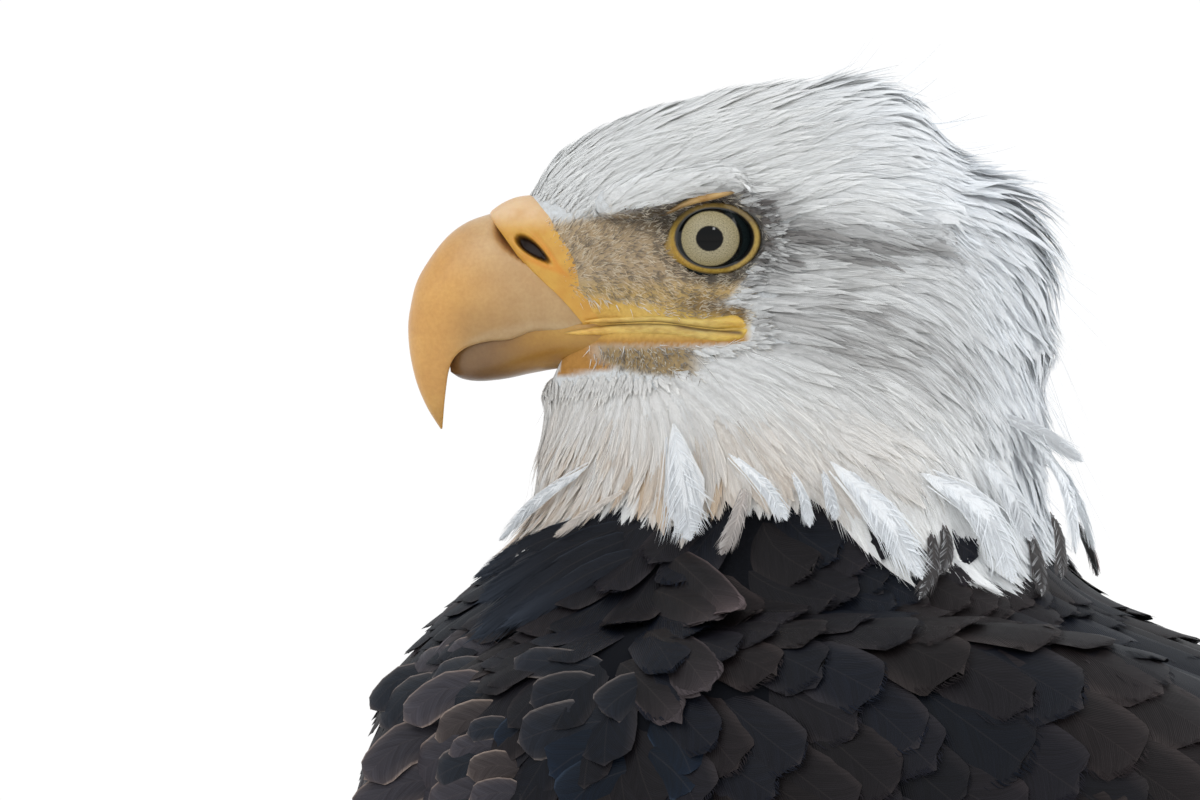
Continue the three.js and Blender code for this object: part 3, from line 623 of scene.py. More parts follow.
class EAGLE_OT_skin(bpy.types.Operator):
    """Makes the one skin of the head, neck, torso and thighs"""

    bl_idname = "eagle.skin"
    bl_label = "Skin"

    def execute(self, context):
        head = self.head_shell()
        body = self.body_shell()
        union = head.modifiers.new("Union", "BOOLEAN")
        union.operation = "UNION"
        union.object = body
        union.solver = "MANIFOLD"
        applied(head)
        bpy.data.objects.remove(body)
        head.data.shade_smooth()
        head.name = head.data.name = "skin"
        store_skin(head)
        co = coords(head.data)
        tinted(head, skin_tint(co))
        finished(head, "body_feathers", feather_skin_material(), "head", "neck", "torso", "thigh_left", "thigh_right")
        return {"FINISHED"}

    def head_shell(self):
        bm = bmesh.new()
        tube(bm, head_surface, 72, 60)
        tube(bm, trunk_surface(1.0, 6.0, 1.6), 72, 40)
        for hand in (1, -1):
            # the ridge of bone that shades the eye, and the cheek under it
            for centre, radii, tilt, yaw in (
                ((-10.5, -hand * 20.6, 9.9), (17.5, 5.4, 2.9), 10, 15),
                ((-9, -hand * 18.5, -16.6), (24, 3.6, 3.0), -2, 17),
            ):
                ellipsoid(bm, centre, radii, math.radians(tilt), -hand * math.radians(yaw))
        shell = remeshed(from_bmesh("head_shell", bm), 1.25, 6)
        co = self.with_orbits(coords(shell.data))
        normals = np.empty(len(co) * 3)
        shell.data.vertices.foreach_get("normal", normals)
        normals = normals.reshape(-1, 3)
        x, y, z = co.T
        full = smoothstep(x + 0.3 * z, -40, -28) * smoothstep(z, -86, -68)
        set_coords(shell.data, co + normals * (full * down(co, normals))[:, None])
        face = smoothstep(14 - x, 0, 6) * smoothstep(18 - z, 0, 6) * (np.abs(y) > 8)
        coat = shell.vertex_groups.new(name="Coat")
        for i, weight in enumerate(full * (1 - face)):
            coat.add([i], float(weight), "REPLACE")
        smooth = shell.modifiers.new("Smooth", "SMOOTH")
        smooth.factor, smooth.iterations, smooth.vertex_group = 0.5, 40, coat.name
        return applied(shell)

    def with_orbits(self, co):
        """Sinks the skin round each eye to the edge of the lids."""
        x, y, z = co.T
        reach = lid_reach(x, z)
        floor = orbit_floor(x)
        inside = smoothstep(-reach, -1.6, -1.15) * (np.abs(y) > 8)
        deep = mix(floor - 7, floor, smoothstep(reach, 0.86, 1.02))
        target = np.minimum(np.abs(y), mix(np.abs(y), deep, inside))
        return np.stack([x, np.sign(y) * target, z], 1)

    def body_shell(self):
        bm = bmesh.new()
        tube(bm, trunk_surface(4.8, TORSO_END, 1.6), 72, 70)
        for hand in (1, -1):
            tube(bm, limb_surface(np.array(THIGH_LINE) * [1, hand, 1], THIGH_RADII), 36, 30)
        return remeshed(from_bmesh("body_shell", bm), 2.9, 4)


SKIN = {}


def store_skin(obj):
    """Keeps the skin in bird millimetres, for what grows on it."""
    bm = bmesh.new()
    bm.from_mesh(obj.data)
    SKIN["tree"] = BVHTree.FromBMesh(bm)
    bm.free()
    SKIN["co"], SKIN["tris"], _ = triangles(obj.data)


WHITE_EDGE = np.array([
    [-60, -80], [-42, -75], [-35, -72], [-22, -65.5], [-10.5, -67.5], [-0.5, -74], [6, -64], [16, -68], [26, -62],
    [36, -67], [53, -86], [60, -78], [79, -86], [84, -74], [94, -77],
])


def white_edge(x):
    """The level at which the white neck ends over the dark body."""
    return looked_up(WHITE_EDGE, x)


def lores_colour(x, z):
    """Dark towards the eye and the brow, tan towards the cere and the mouth."""
    dark = smoothstep(0.35 * x + z, -8, 1.5)[..., None]
    colour = mix(linear("#DFBF80"), linear("#CDB593"), smoothstep(z, -14, -8)[..., None])
    colour = mix(colour, linear("#7D6448"), (smoothstep(x, -12, -3) * smoothstep(-z, 12, 15) * 0.7)[..., None])
    return mix(colour, linear("#463C32"), dark * 0.9)


def skin_tint(co):
    x, z = co[:, 0], co[:, 2]
    side = np.abs(co[:, 1]) > 8
    white = smoothstep(z - white_edge(x), 6, 14)
    colour = mix(linear("#121317"), linear("#D6D9DB"), white[:, None])
    colour = mix(colour, lores_colour(x, z) * 0.8, (lores(x, z) * side)[:, None])
    colour = toward(colour, "#A08A66", jaw_bristles(x, z) * side)
    lid_edge = smoothstep(-lid_reach(x, z), -1.5, -1.15) * side
    colour = toward(colour, "#4A4238", lid_edge * 0.8)
    yellow = mix(linear("#D9AE5C"), linear("#D0B064"), smoothstep(x, -34, -8)[:, None])
    yellow = toward(yellow, "#B28245", smoothstep(-z, 22, 25))
    return mix(colour, yellow, (gape_skin(x, z) * (1 - jaw_bristles(x, z)) * side)[:, None])


def feather_skin_material():
    """Soft skin under the coat: matt, with the roots of feathers as fine grain."""
    material, tree, shader = new_material("skin_under_feathers", Roughness=0.8, Specular_IOR_Level=0.05)
    grain = noise_of(tree, 1.2, 4)
    shade = ramp(tree, grain, [(0.3, "#E6E3DF"), (0.7, "#FFFFFF")])
    painted(shader, mixed(tree, "MULTIPLY", 1.0, tint_of(tree), shade))
    bumped(tree, shader, grain, 0.4)
    return material


# ---- bill and cere
UPPER_BILL = np.array([
    [-43, 7.6, -29, -21.6, 13.6],
    [-48, 7.4, -32.5, -21.6, 13.5],
    [-52.9, 6.4, -36, -21.9, 13.2],
    [-58.9, 4.3, -43.1, -21.9, 12.3],
    [-63.8, 0.7, -48.5, -23.8, 11.3],
    [-68.1, -4.8, -54, -24.3, 10.2],
    [-71.1, -10.2, -58.9, -25.7, 9.0],
    [-72.6, -16.4, -62, -28.2, 7.7],
    [-73.1, -21.2, -63.4, -31.4, 6.5],
    [-72.6, -27.4, -64.0, -35.2, 5.1],
    [-71.1, -34, -64.4, -38.8, 3.7],
    [-68.6, -40, -64.7, -42.6, 2.2],
    [-65.3, -45.3, -64.9, -45.2, 0.5],
], float)
LOWER_BILL = np.array([
    [-63.2, -28.4, -62.9, -31.6, 2.2],
    [-61.4, -25.3, -60.2, -33.2, 4.9],
    [-57.5, -23.0, -55.8, -33.8, 7.0],
    [-51, -22.4, -49.6, -33.2, 8.9],
    [-44, -20.6, -43, -31.8, 10.7],
    [-36, -20.2, -35, -30.6, 12.4],
    [-26, -19.8, -25, -31, 15.2],
    [-14, -19.8, -13, -31.6, 18.4],
], float)
CERE = np.array([
    [-53.7, 5.6, -37.0, -21.9, 12.7],
    [-53.4, 6.5, -36.6, -21.6, 13.45],
    [-52.6, 7.4, -35.8, -21.2, 13.95],
    [-50.0, 9.1, -33.0, -20.4, 14.5],
    [-46.5, 10.4, -30.0, -20.2, 14.9],
    [-42.0, 10.6, -26.5, -20.2, 15.2],
    [-37.0, 9.0, -20.0, -20.4, 14.4],
], float)
# How far the cere's front edge lies back, by the height on its section: it slants back under the nostril.
CERE_SLANT = np.array([
    [-1, 9.0], [-0.63, 7.0], [-0.43, 5.6], [-0.21, 3.7], [0.02, 2.1], [0.34, 1.0], [0.61, 0.7], [1, 0],
])
# A ring's shape from its ridge (0) to the middle of its underside (1), as heights and widths.
HORN_SECTION = np.array([
    [1, 0], [0.97, 0.2], [0.87, 0.44], [0.68, 0.67], [0.42, 0.85], [0.1, 0.96], [-0.24, 1.0], [-0.56, 0.99],
    [-0.83, 0.955], [-0.985, 0.9], [-0.99, 0.78], [-0.88, 0.45], [-0.82, 0],
])
JAW_SECTION = np.array([
    [0.7, 0], [0.78, 0.5], [0.97, 0.84], [1.0, 0.93], [0.8, 0.98], [0.4, 1.0], [0, 0.96], [-0.4, 0.84],
    [-0.72, 0.62], [-0.93, 0.32], [-1, 0],
])
CERE_SECTION = np.array([
    [1, 0], [0.96, 0.3], [0.84, 0.55], [0.62, 0.77], [0.34, 0.92], [0.0, 1.0], [-0.4, 1.0], [-0.75, 0.97],
    [-0.98, 0.9], [-0.9, 0.4], [-0.85, 0],
])


def section_surface(table, section, bulge=None):
    def surface(along, around):
        row = rows(table, along * (len(table) - 1))
        side = np.where(np.mod(around, 1) <= 0.5, 1.0, -1.0)
        place = np.abs(np.mod(around + 0.5, 1) - 0.5) * 2
        shape = rows(section, place * (len(section) - 1))
        x = (row[..., 0] + row[..., 2]) / 2 + shape[..., 0] * (row[..., 0] - row[..., 2]) / 2
        z = (row[..., 1] + row[..., 3]) / 2 + shape[..., 0] * (row[..., 1] - row[..., 3]) / 2
        y = -side * row[..., 4] * shape[..., 1]
        if bulge is not None:
            x = x + bulge(along, shape[..., 0])
        return np.stack([x, y, z], -1)
    return surface


def keratin_material():
    """Horn of the bill: layered keratin, worn smooth, with faint growth lines and a soft depth."""
    material, tree, shader = new_material(
        "bill_keratin", Roughness=0.36, Subsurface_Weight=0.12, Subsurface_Radius=(1.0, 0.5, 0.2),
        Subsurface_Scale=1.5 * MM, Coat_Weight=0.12, Coat_Roughness=0.3)
    blotch = ramp(tree, noise_of(tree, 9, 4), [(0.3, "#E4D8C8"), (0.7, "#FFFFFF")])
    fine = ramp(tree, noise_of(tree, 0.9, 3), [(0.3, "#EFE6DA"), (0.65, "#FFFFFF")])
    tint = mixed(tree, "MULTIPLY", 0.7, tint_of(tree), blotch)
    tint = mixed(tree, "MULTIPLY", 0.55, tint, fine)
    painted(shader, tint)
    place = place_of(tree)
    stretched = add(tree, "ShaderNodeMapping", {"Vector": place}, Scale=(1, 1, 0.25))
    lines = noise_of(tree, 1.6, 4, stretched.outputs["Vector"])
    bumped(tree, shader, lines, 0.12, 0.6)
    return material


class EAGLE_OT_bill(bpy.types.Operator):
    """Makes the upper and the lower bill and the cere with its nostrils"""

    bl_idname = "eagle.bill"
    bl_label = "Bill"

    def execute(self, context):
        s = context.scene.eagle
        horn = keratin_material()
        upper = body("upper_bill", section_surface(UPPER_BILL, HORN_SECTION), 112, 84)
        co = coords(upper.data)
        tinted(upper, self.upper_tint(co, s))
        near = smoothstep(-self.nostril(co)[3], -2.6, -1.6) * (np.abs(co[:, 1]) > 3)
        co[:, 1] -= np.sign(co[:, 1]) * near * 7
        set_coords(upper.data, co)
        finished(upper, "horn", horn, "bill_upper")

        lower = body("lower_bill", section_surface(LOWER_BILL, JAW_SECTION), 64, 44)
        tinted(lower, self.lower_tint(coords(lower.data)))
        finished(lower, "horn", horn, "bill_lower")
        self.add_cere(s)
        return {"FINISHED"}

    def upper_tint(self, co, s):
        x, z = co[:, 0], co[:, 2]
        base = smoothstep(x + 0.5 * z, -70, -50)[:, None]
        colour = mix(linear(s.horn), linear(s.horn_base), base)
        # painted shade: darker and browner low on the side of the upper bill, where less light falls from above
        low = smoothstep(-z, 8, 24)[:, None] * smoothstep(x, -66, -56)[:, None]
        colour = mix(colour, linear("#A58658"), low * 0.7)
        edge = smoothstep(-z - np.interp(x, [-62, -54, -44, -36], [26.0, 22.4, 20.2, 20.4]), -1.6, 0.6)[:, None]
        edge = edge * smoothstep(x, -62, -56)[:, None]
        colour = mix(colour, linear("#C2A780"), edge * 0.6)
        tip = smoothstep(-z, 34, 44)[:, None]
        return mix(colour, linear("#BC9246"), tip * 0.6)

    def lower_tint(self, co):
        x, z = co[:, 0], co[:, 2]
        colour = mix(linear("#84643F"), linear("#A87C33"), smoothstep(x, -56, -40)[:, None])
        colour = toward(colour, "#B2873A", smoothstep(z, -29, -22) * smoothstep(x, -50, -38))
        # painted shade: darker along the underside of the lower bill
        return mix(colour, linear("#6E5236"), smoothstep(-z, 29.5, 33.5)[:, None] * 0.6)

    def add_cere(self, s):
        def slant(along, height):
            return looked_up(CERE_SLANT, height) * (1 - along) ** 1.2

        cere = body("cere_skin", section_surface(CERE, CERE_SECTION, slant), 160, 84)
        co, colour = self.with_nostrils(coords(cere.data), s)
        set_coords(cere.data, co)
        tinted(cere, colour)
        # waxy bare skin, pitted with pores
        material, tree, shader = new_material(
            "cere_soft_skin", Roughness=0.45, Subsurface_Weight=0.2, Subsurface_Radius=(1.0, 0.45, 0.15),
            Subsurface_Scale=1.2 * MM)
        pores = noise_of(tree, 0.7, 4)
        blotch = ramp(tree, noise_of(tree, 5, 3), [(0.3, "#EFDCC0"), (0.65, "#FFFFFF")])
        painted(shader, mixed(tree, "MULTIPLY", 0.8, tint_of(tree), blotch))
        bumped(tree, shader, pores, 0.14, 0.8)
        finished(cere, "cere", material, "cere")

    def nostril(self, co):
        """How much each point lies in a nostril, on the rim above it, and how far it is from its middle."""
        x, y, z = co.T
        slope = math.radians(38)
        dx, dz = x + 43.1, z + 2.4
        a = dx * math.cos(slope) - dz * math.sin(slope)
        b = dx * math.sin(slope) + dz * math.cos(slope)
        reach = np.hypot(a / 4.6, b / (1.45 - 0.1 * a))
        side = np.abs(y) > 6
        hole = smoothstep(-reach, -1.25, -0.75) * side
        rim = np.exp(-((reach - 1.75) / 0.5) ** 2) * smoothstep(b, -1.0, 2.5) * side
        fold = np.exp(-((b + 4.2 + 0.06 * a) / 1.0) ** 2) * smoothstep(-np.abs(a), -9, -3)
        return hole, rim, fold, reach, a

    def with_nostrils(self, co, s):
        """Hollows each nostril, a slit that slopes down to the rear, with a raised rim above it; the cere's colour
        has a painted highlight on its top and painted shade in each nostril.
        """
        hole, rim, fold, reach, a = self.nostril(co)
        z = co[:, 2]
        out = co.copy()
        out[:, 1] -= np.sign(co[:, 1]) * (hole * 5.0 - rim * 0.5 + fold * 0.25)
        colour = np.tile(linear(s.cere), (len(co), 1))
        # painted highlight: paler and pinker on the top of the cere
        colour = toward(colour, "#E2C19C", smoothstep(z, 1, 7) * 0.8)
        colour = toward(colour, "#D98E2B", np.exp(-((reach - 1.7) / 0.55) ** 2) * 0.75 * smoothstep(a, -4, 3))
        # painted shade: each nostril's hollow near black
        colour = toward(colour, "#2A150B", hole)
        return out, colour


# ---- eyes and lids
def hand_of(side):
    return 1 if side == "left" else -1


class EAGLE_OT_eyes(bpy.types.Operator):
    """Makes both eyeballs with their corneas, and the lids round them"""

    bl_idname = "eagle.eyes"
    bl_label = "Eyes"

    def execute(self, context):
        s = context.scene.eagle
        eye = self.eye_material(s)
        lid = self.lid_material()
        for side in ("left", "right"):
            self.add_eye(side, eye)
            self.add_lids(side, lid)
        return {"FINISHED"}

    def add_eye(self, side, material):
        hand = hand_of(side)
        look = np.array([-math.sin(EYE_LOOK), -hand * math.cos(EYE_LOOK), 0.0])
        across = np.array([math.cos(EYE_LOOK), -hand * math.sin(EYE_LOOK), 0.0])
        bm = bmesh.new()
        bmesh.ops.create_uvsphere(bm, u_segments=96, v_segments=96, radius=1)
        co = np.array([v.co for v in bm.verts])
        polar = np.degrees(np.arccos(np.clip(co[:, 2], -1, 1)))
        bulge = 1 + 0.045 * smoothstep(-polar, -46, -24)
        radius = EYE_RADIUS * bulge
        centre = np.array([0.0, -hand * EYE_SIDE, 0.1])
        up = np.array([0.0, 0.0, 1.0])
        for v, p, r in zip(bm.verts, co, radius):
            v.co = centre + r * (p[2] * look + p[0] * across + p[1] * up)
        uv = bm.loops.layers.uv.new("Gaze")
        for face in bm.faces:
            for loop in face.loops:
                offset = np.array(loop.vert.co) - centre
                depth = offset @ look / np.linalg.norm(offset)
                angle = math.degrees(math.acos(np.clip(depth, -1, 1)))
                turn = math.atan2(offset @ up, offset @ across)
                squash = 1 + 0.08 * math.sin(turn) ** 2  # the iris is a little wider than tall
                reach = angle / 180 * squash
                loop[uv].uv = (0.5 + reach * math.cos(turn), 0.5 + reach * math.sin(turn))
        finished(from_bmesh(f"eyeball_{side}", bm), "eye", material, f"eye_{side}")

    def eye_material(self, s):
        """Wet eye: a clear cornea over a pale iris with fine radial flecks and a black pupil, and a painted bluish
        reflection of the sky in the dark beyond the iris.
        """
        material, tree, shader = new_material(
            "wet_eye", Roughness=0.5, Specular_IOR_Level=0.0, Coat_Weight=0.6, Coat_Roughness=0.02, Coat_IOR=1.38)
        gaze = add(tree, "ShaderNodeUVMap", uv_map="Gaze").outputs["UV"]
        centred = add(tree, "ShaderNodeVectorMath", {0: gaze, 1: (0.5, 0.5, 0)}, operation="SUBTRACT")
        reach = add(tree, "ShaderNodeVectorMath", {0: centred.outputs["Vector"]}, operation="LENGTH").outputs["Value"]
        wobble = noise_of(tree, 18, 3, gaze)  # in UV space: fine flecks
        fleck = noise_of(tree, 9, 4, gaze)
        ring = maths(tree, "ADD", reach, maths(tree, "MULTIPLY", wobble, 0.006))
        iris_edge = math.degrees(math.asin(7.1 / EYE_RADIUS)) / 180
        pupil = math.degrees(math.asin(3.15 / EYE_RADIUS)) / 180
        pale = ramp(tree, fleck, [(0.26, "#5E5439"), (0.38, s.iris), (0.75, "#B5AA8A")])
        # pupil, iris, the iris's dark edge, then the dark beyond it turning blue: that blue is a painted reflection
        # of the sky
        lit = ramp(tree, ring, [
            (0.0, "#000000"), (pupil, "#000000"), (pupil + 0.006, "#FFFFFF"),
            (iris_edge - 0.014, "#F2EEDD"), (iris_edge - 0.003, "#14140F"), (iris_edge + 0.006, "#05070C"),
            (iris_edge + 0.03, "#2B3B4C"),
        ])
        painted(shader, mixed(tree, "MULTIPLY", 1.0, pale, lit))
        return material

    def add_lids(self, side, material):
        hand = hand_of(side)
        turns, across = 120, 14
        bm = bmesh.new()
        bmesh.ops.create_grid(bm, x_segments=across, y_segments=turns, size=1)
        for v in bm.verts:
            share = (v.co.x + 1) / 2
            a = (v.co.y + 1) * math.pi
            v.co = self.lid_point(hand, a, share)
        bmesh.ops.remove_doubles(bm, verts=bm.verts, dist=0.01)
        obj = from_bmesh(f"lids_{side}", bm)
        co = coords(obj.data)
        reach = lid_reach(co[:, 0], co[:, 2], LID_INNER)
        colour = mix(linear("#0F0D0A"), linear("#AD9038"), smoothstep(reach, 1.03, 1.09)[:, None])
        # painted shadow of the brow: the upper lid darker and browner
        upper = smoothstep(co[:, 2], 1, 6)[:, None]
        colour = mix(colour, linear("#57482C"), upper * smoothstep(reach, 1.03, 1.09)[:, None] * 0.75)
        front = smoothstep(-co[:, 0], 2, 8)[:, None] * smoothstep(-co[:, 2], -3, 3)[:, None]
        colour = mix(colour, colour * np.array([1.12, 1.0, 0.55]), front)
        outer = smoothstep(reach, 1.14, 1.25)[:, None] * (1 - front * 0.7)
        colour = mix(colour, linear("#4A4130"), outer * 0.9)
        tinted(obj, colour)
        finished(obj, "cere", material)

    def lid_point(self, hand, a, share):
        """A point of the lids: share runs from the wet edge (0) over the fold to its foot in the skin (1)."""
        corner = math.exp(-((math.atan2(math.sin(a - 3.5), math.cos(a - 3.5))) / 0.34) ** 2)
        low = max(0.0, -math.sin(a))
        rim = float(looked_up(LID_PROFILE, share)) + 0.035 * low * share
        rx = LID_INNER[0] * rim * (1 + 0.20 * corner * share)
        rz = LID_INNER[1] * rim * (1 + 0.10 * corner * share)
        x = LID_CENTRE[0] + rx * math.cos(a)
        z = LID_CENTRE[1] + rz * math.sin(a)
        ball = EYE_SIDE + math.sqrt(max(EYE_RADIUS ** 2 - x * x - z * z, 30.0))
        top = max(orbit_floor(x), ball) + 0.55
        rise = float(np.interp(share, LID_PROFILE[:, 0], LID_PROFILE[:, 2]))
        out = mix(ball - 0.2, top, rise) if share < 0.5 else mix(orbit_floor(x) - 4, top, rise)
        return Vector((x, -hand * out, z))

    def lid_material(self):
        """Bare lid skin: waxy yellow, finely wrinkled."""
        material, tree, shader = new_material("lid_skin", Roughness=0.4, Coat_Weight=0.25, Coat_Roughness=0.25)
        wrinkle = noise_of(tree, 0.6, 4)
        shade = ramp(tree, wrinkle, [(0.3, "#C9B58A"), (0.65, "#FFFFFF")])
        painted(shader, mixed(tree, "MULTIPLY", 0.8, tint_of(tree), shade))
        bumped(tree, shader, wrinkle, 0.16, 0.9)
        return material


# ---- mouth edges and brows
def skin_side(x, z, hand, least=0.0):
    """How far out the skin reaches on one side."""
    hit = SKIN["tree"].ray_cast(Vector((x, -hand * 100.0, z)), Vector((0, hand, 0)))
    return max(least, abs(hit[0].y) if hit[0] is not None else 0.0)


# [x, z, half height] along the two fleshy edges of the gape and the bare ridge over the eye
UPPER_LIP = [(-31, -19.6, 0.35), (-26, -19.3, 0.6), (-21, -19.2, 0.75), (-14, -19.2, 0.85), (-8, -19.7, 1.0),
             (-3, -20.2, 1.2), (1, -20.2, 1.6), (5, -19.9, 1.75), (7.6, -20.6, 1.2)]
LOWER_LIP = [(-36, -22.4, 0.5), (-30, -22.0, 0.9), (-24, -21.6, 1.25), (-16, -21.5, 1.4), (-9, -21.9, 1.45),
             (-3, -22.8, 1.5), (2, -23.3, 1.5), (6, -22.9, 1.4), (8.0, -21.8, 0.8)]
BROW = [(-13.5, 5.4, 0.3), (-10.5, 6.6, 0.6), (-7, 8.4, 0.85), (-3, 9.7, 1.0), (0.5, 10.5, 1.0), (3, 11.0, 0.8),
        (5, 11.1, 0.4)]


class EAGLE_OT_mouth(bpy.types.Operator):
    """Makes the fleshy edges of the mouth and the bare ridges over the eyes"""

    bl_idname = "eagle.mouth"
    bl_label = "Mouth and Brows"

    def execute(self, context):
        material = self.flesh_material()
        for side in ("left", "right"):
            hand = hand_of(side)
            self.add_edge(f"gape_upper_{side}", hand, UPPER_LIP, 15.0, 0.0, 1.0, self.lip_tint, material)
            self.add_edge(f"gape_lower_{side}", hand, LOWER_LIP, 12.6, -0.1, 1.0, self.lip_tint, material)
            self.add_edge(f"brow_{side}", hand, BROW, 20.0, 0.4, 1.5, self.brow_tint, material)
        return {"FINISHED"}

    def add_edge(self, name, hand, table, least, proud, deep, tint, material):
        """A rounded fold along the skin; proud moves its middle out, deep is its depth over its height."""
        table = np.array(table, float)
        start = least + (table[:, 0] - table[0, 0]) * 0.29
        out = [max(skin_side(x, z, hand), low) for (x, z, _), low in zip(table, start)]
        line = np.stack([table[:, 0], -hand * (np.array(out) + proud - 0.4), table[:, 1]], 1)
        line = np.concatenate([line, table[:, 2:]], 1)

        def surface(along, around):
            row = rows(line, along * (len(line) - 1))
            a = (around * 2 * math.pi)[..., None]
            half = np.maximum(row[..., 3:4], 0.15)
            end = np.sqrt(np.clip(1 - (2 * along[..., None] - 1) ** 8, 0.02, 1))
            out_way, up_way = np.array([0.0, -hand, 0.0]), np.array([0.0, 0, 1])
            return row[..., :3] + half * end * (deep * np.cos(a) * out_way + np.sin(a) * up_way)

        obj = body(name, surface, 28, 90)
        tinted(obj, tint(coords(obj.data)))
        finished(obj, "cere", material)

    def lip_tint(self, co):
        x, z = co[:, 0], co[:, 2]
        colour = mix(linear("#E2B65A"), linear("#D2B562"), smoothstep(x, -32, -14)[:, None])
        colour = toward(colour, "#D9B450", smoothstep(x, -4, 6))
        line = looked_up(MOUTH_LINE, x)
        seam = np.exp(-((z - line) / 0.55) ** 2) * smoothstep(7.4 - x, 0, 1.5)
        return toward(colour, "#4A3316", seam * 0.85)

    def brow_tint(self, co):
        x = co[:, 0]
        colour = mix(linear("#7A6038"), linear("#D0AC72"), smoothstep(x, -11, -3)[:, None])
        return toward(colour, "#9C845C", smoothstep(x, 2, 5))

    def flesh_material(self):
        """Bare skin of the mouth's edge: rubbery, slightly moist, with fine creases."""
        material, tree, shader = new_material(
            "gape_flesh", Roughness=0.42, Subsurface_Weight=0.15, Subsurface_Radius=(1.0, 0.5, 0.15),
            Subsurface_Scale=1.0 * MM)
        place = place_of(tree)
        along = add(tree, "ShaderNodeMapping", {"Vector": place}, Scale=(0.35, 0.35, 1))
        crease = noise_of(tree, 1.0, 4, along.outputs["Vector"])
        shade = ramp(tree, crease, [(0.3, "#C8B18C"), (0.62, "#FFFFFF")])
        painted(shader, mixed(tree, "MULTIPLY", 0.75, tint_of(tree), shade))
        bumped(tree, shader, crease, 0.2, 0.8)
        return material


# ---- the lie of the feathers
# How far a place's way reaches, in mm, and [x, z, the way that feathers point there in x and z] on the bird's side.
HEAD_LIE = 9.0, np.array([
    [-46, 12, 0.75, 0.66], [-38, 22, 0.86, 0.5], [-25, 28, 0.92, 0.38], [-8, 33, 0.96, 0.26],
    [12, 36, 0.96, 0.26], [30, 36, 0.93, 0.36], [46, 26, 0.94, 0.26], [58, 10, 0.9, -0.2],
    [64, -8, 0.7, -0.6], [70, -30, 0.55, -0.83], [78, -55, 0.5, -0.86],
    [-38, 12, 0.8, 0.6], [-28, 14, 0.92, 0.38], [-15, 15, 0.96, 0.28], [0, 16, 0.97, 0.2],
    [15, 12, 1, 0.05], [30, 15, 1, 0.12], [20, 0, 1, -0.06], [40, 5, 0.98, -0.05],
    [15, -10, 0.98, -0.12], [35, -12, 0.97, -0.2], [5, -16, 0.97, -0.18], [-10, -16, 0.95, -0.25],
    [15, -24, 0.93, -0.33], [35, -30, 0.9, -0.4], [-5, -30, 0.7, -0.7], [-25, -34, 0.25, -0.97],
    [-40, -36, -0.05, -1], [-44, -50, -0.08, -1], [-30, -50, 0.1, -0.99], [-10, -50, 0.3, -0.95],
    [10, -45, 0.6, -0.8], [30, -50, 0.7, -0.7], [50, -45, 0.75, -0.65], [-48, -68, -0.35, -0.94],
    [-20, -70, 0.08, -1], [10, -70, 0.3, -0.95], [40, -70, 0.45, -0.9], [70, -72, 0.5, -0.87],
])
BODY_LIE = 14.0, np.array([
    [-6, -69, -0.7, -0.71], [-26, -81, -0.8, -0.6], [-48, -88, -0.65, -0.76], [-64, -107, -0.5, -0.86],
    [-52, -114, -0.85, -0.5], [-42, -124, -0.9, -0.42], [-80, -131, -0.3, -0.95], [-34, -105, -0.9, -0.35],
    [-22, -115, -0.5, -0.87], [-13, -107, -0.2, -0.98], [-4, -95, 0.6, -0.8], [10, -86, 0.66, -0.75],
    [34, -86, 0.78, -0.62], [58, -98, 0.78, -0.62], [82, -98, 0.85, -0.52], [106, -98, 0.87, -0.47],
    [118, -110, 0.88, -0.45], [58, -119, 0.82, -0.57], [22, -119, 0.76, -0.65], [-2, -128, 0.5, -0.86],
    [100, -160, 0.84, -0.54], [200, -200, 0.85, -0.52], [-85, -160, -0.05, -1], [-76, -190, 0.25, -0.97],
    [-20, -240, 0.72, -0.7], [60, -272, 0.92, -0.38], [200, -295, 0.96, -0.25], [150, -115, 0.86, -0.5],
    [220, -165, 0.8, -0.58], [280, -235, 0.77, -0.63], [-30, -150, -0.3, -0.95], [10, -170, 0.45, -0.9],
    [100, -300, 0.1, -1], [110, -340, 0.0, -1], [96, -230, 0.4, -0.9],
])


def lie_at(lie, points):
    """The unit way that feathers point, in the side view, before it is laid on the surface."""
    reach, table = lie
    place = points[..., None, [0, 2]]
    far = ((place - table[:, :2]) ** 2).sum(-1) / (2 * reach ** 2)
    weight = np.exp(-(far - far.min(-1, keepdims=True)))
    way = (weight[..., None] * table[:, 2:]).sum(-2)
    return unit(np.stack([way[..., 0], 0 * way[..., 0], way[..., 1]], -1))


def laid(way, normal):
    """Turns a way into the surface's own plane."""
    flat = way - normal * np.sum(way * normal, -1, keepdims=True)
    size = np.linalg.norm(flat, axis=-1, keepdims=True)
    down = np.array([0.0, 0.0, -1.0]) - normal * -normal[..., 2:3]
    return unit(np.where(size > 0.2, flat, flat + 0.6 * unit(down)))


def nearest(tree, points):
    place, normal = np.empty_like(points), np.empty_like(points)
    for i, p in enumerate(points):
        place[i], normal[i] = tree.find_nearest(p)[:2]
    return place, normal


def marched(tree, roots, lengths, steps, lie, turn):
    """Lines over a surface that follow the lie of the feathers: points and normals for each step."""
    place, normal = nearest(tree, roots)
    places, normals = [place], [normal]
    for _ in range(steps):
        way = laid(lie_at(lie, place), normal)
        way = way * np.cos(turn)[:, None] + np.cross(normal, way) * np.sin(turn)[:, None]
        place, fresh_normal = nearest(tree, place + way * (lengths / steps)[:, None])
        normal = unit(mix(normal, fresh_normal, 0.6))
        places.append(place)
        normals.append(normal)
    return np.stack(places, 1), np.stack(normals, 1)


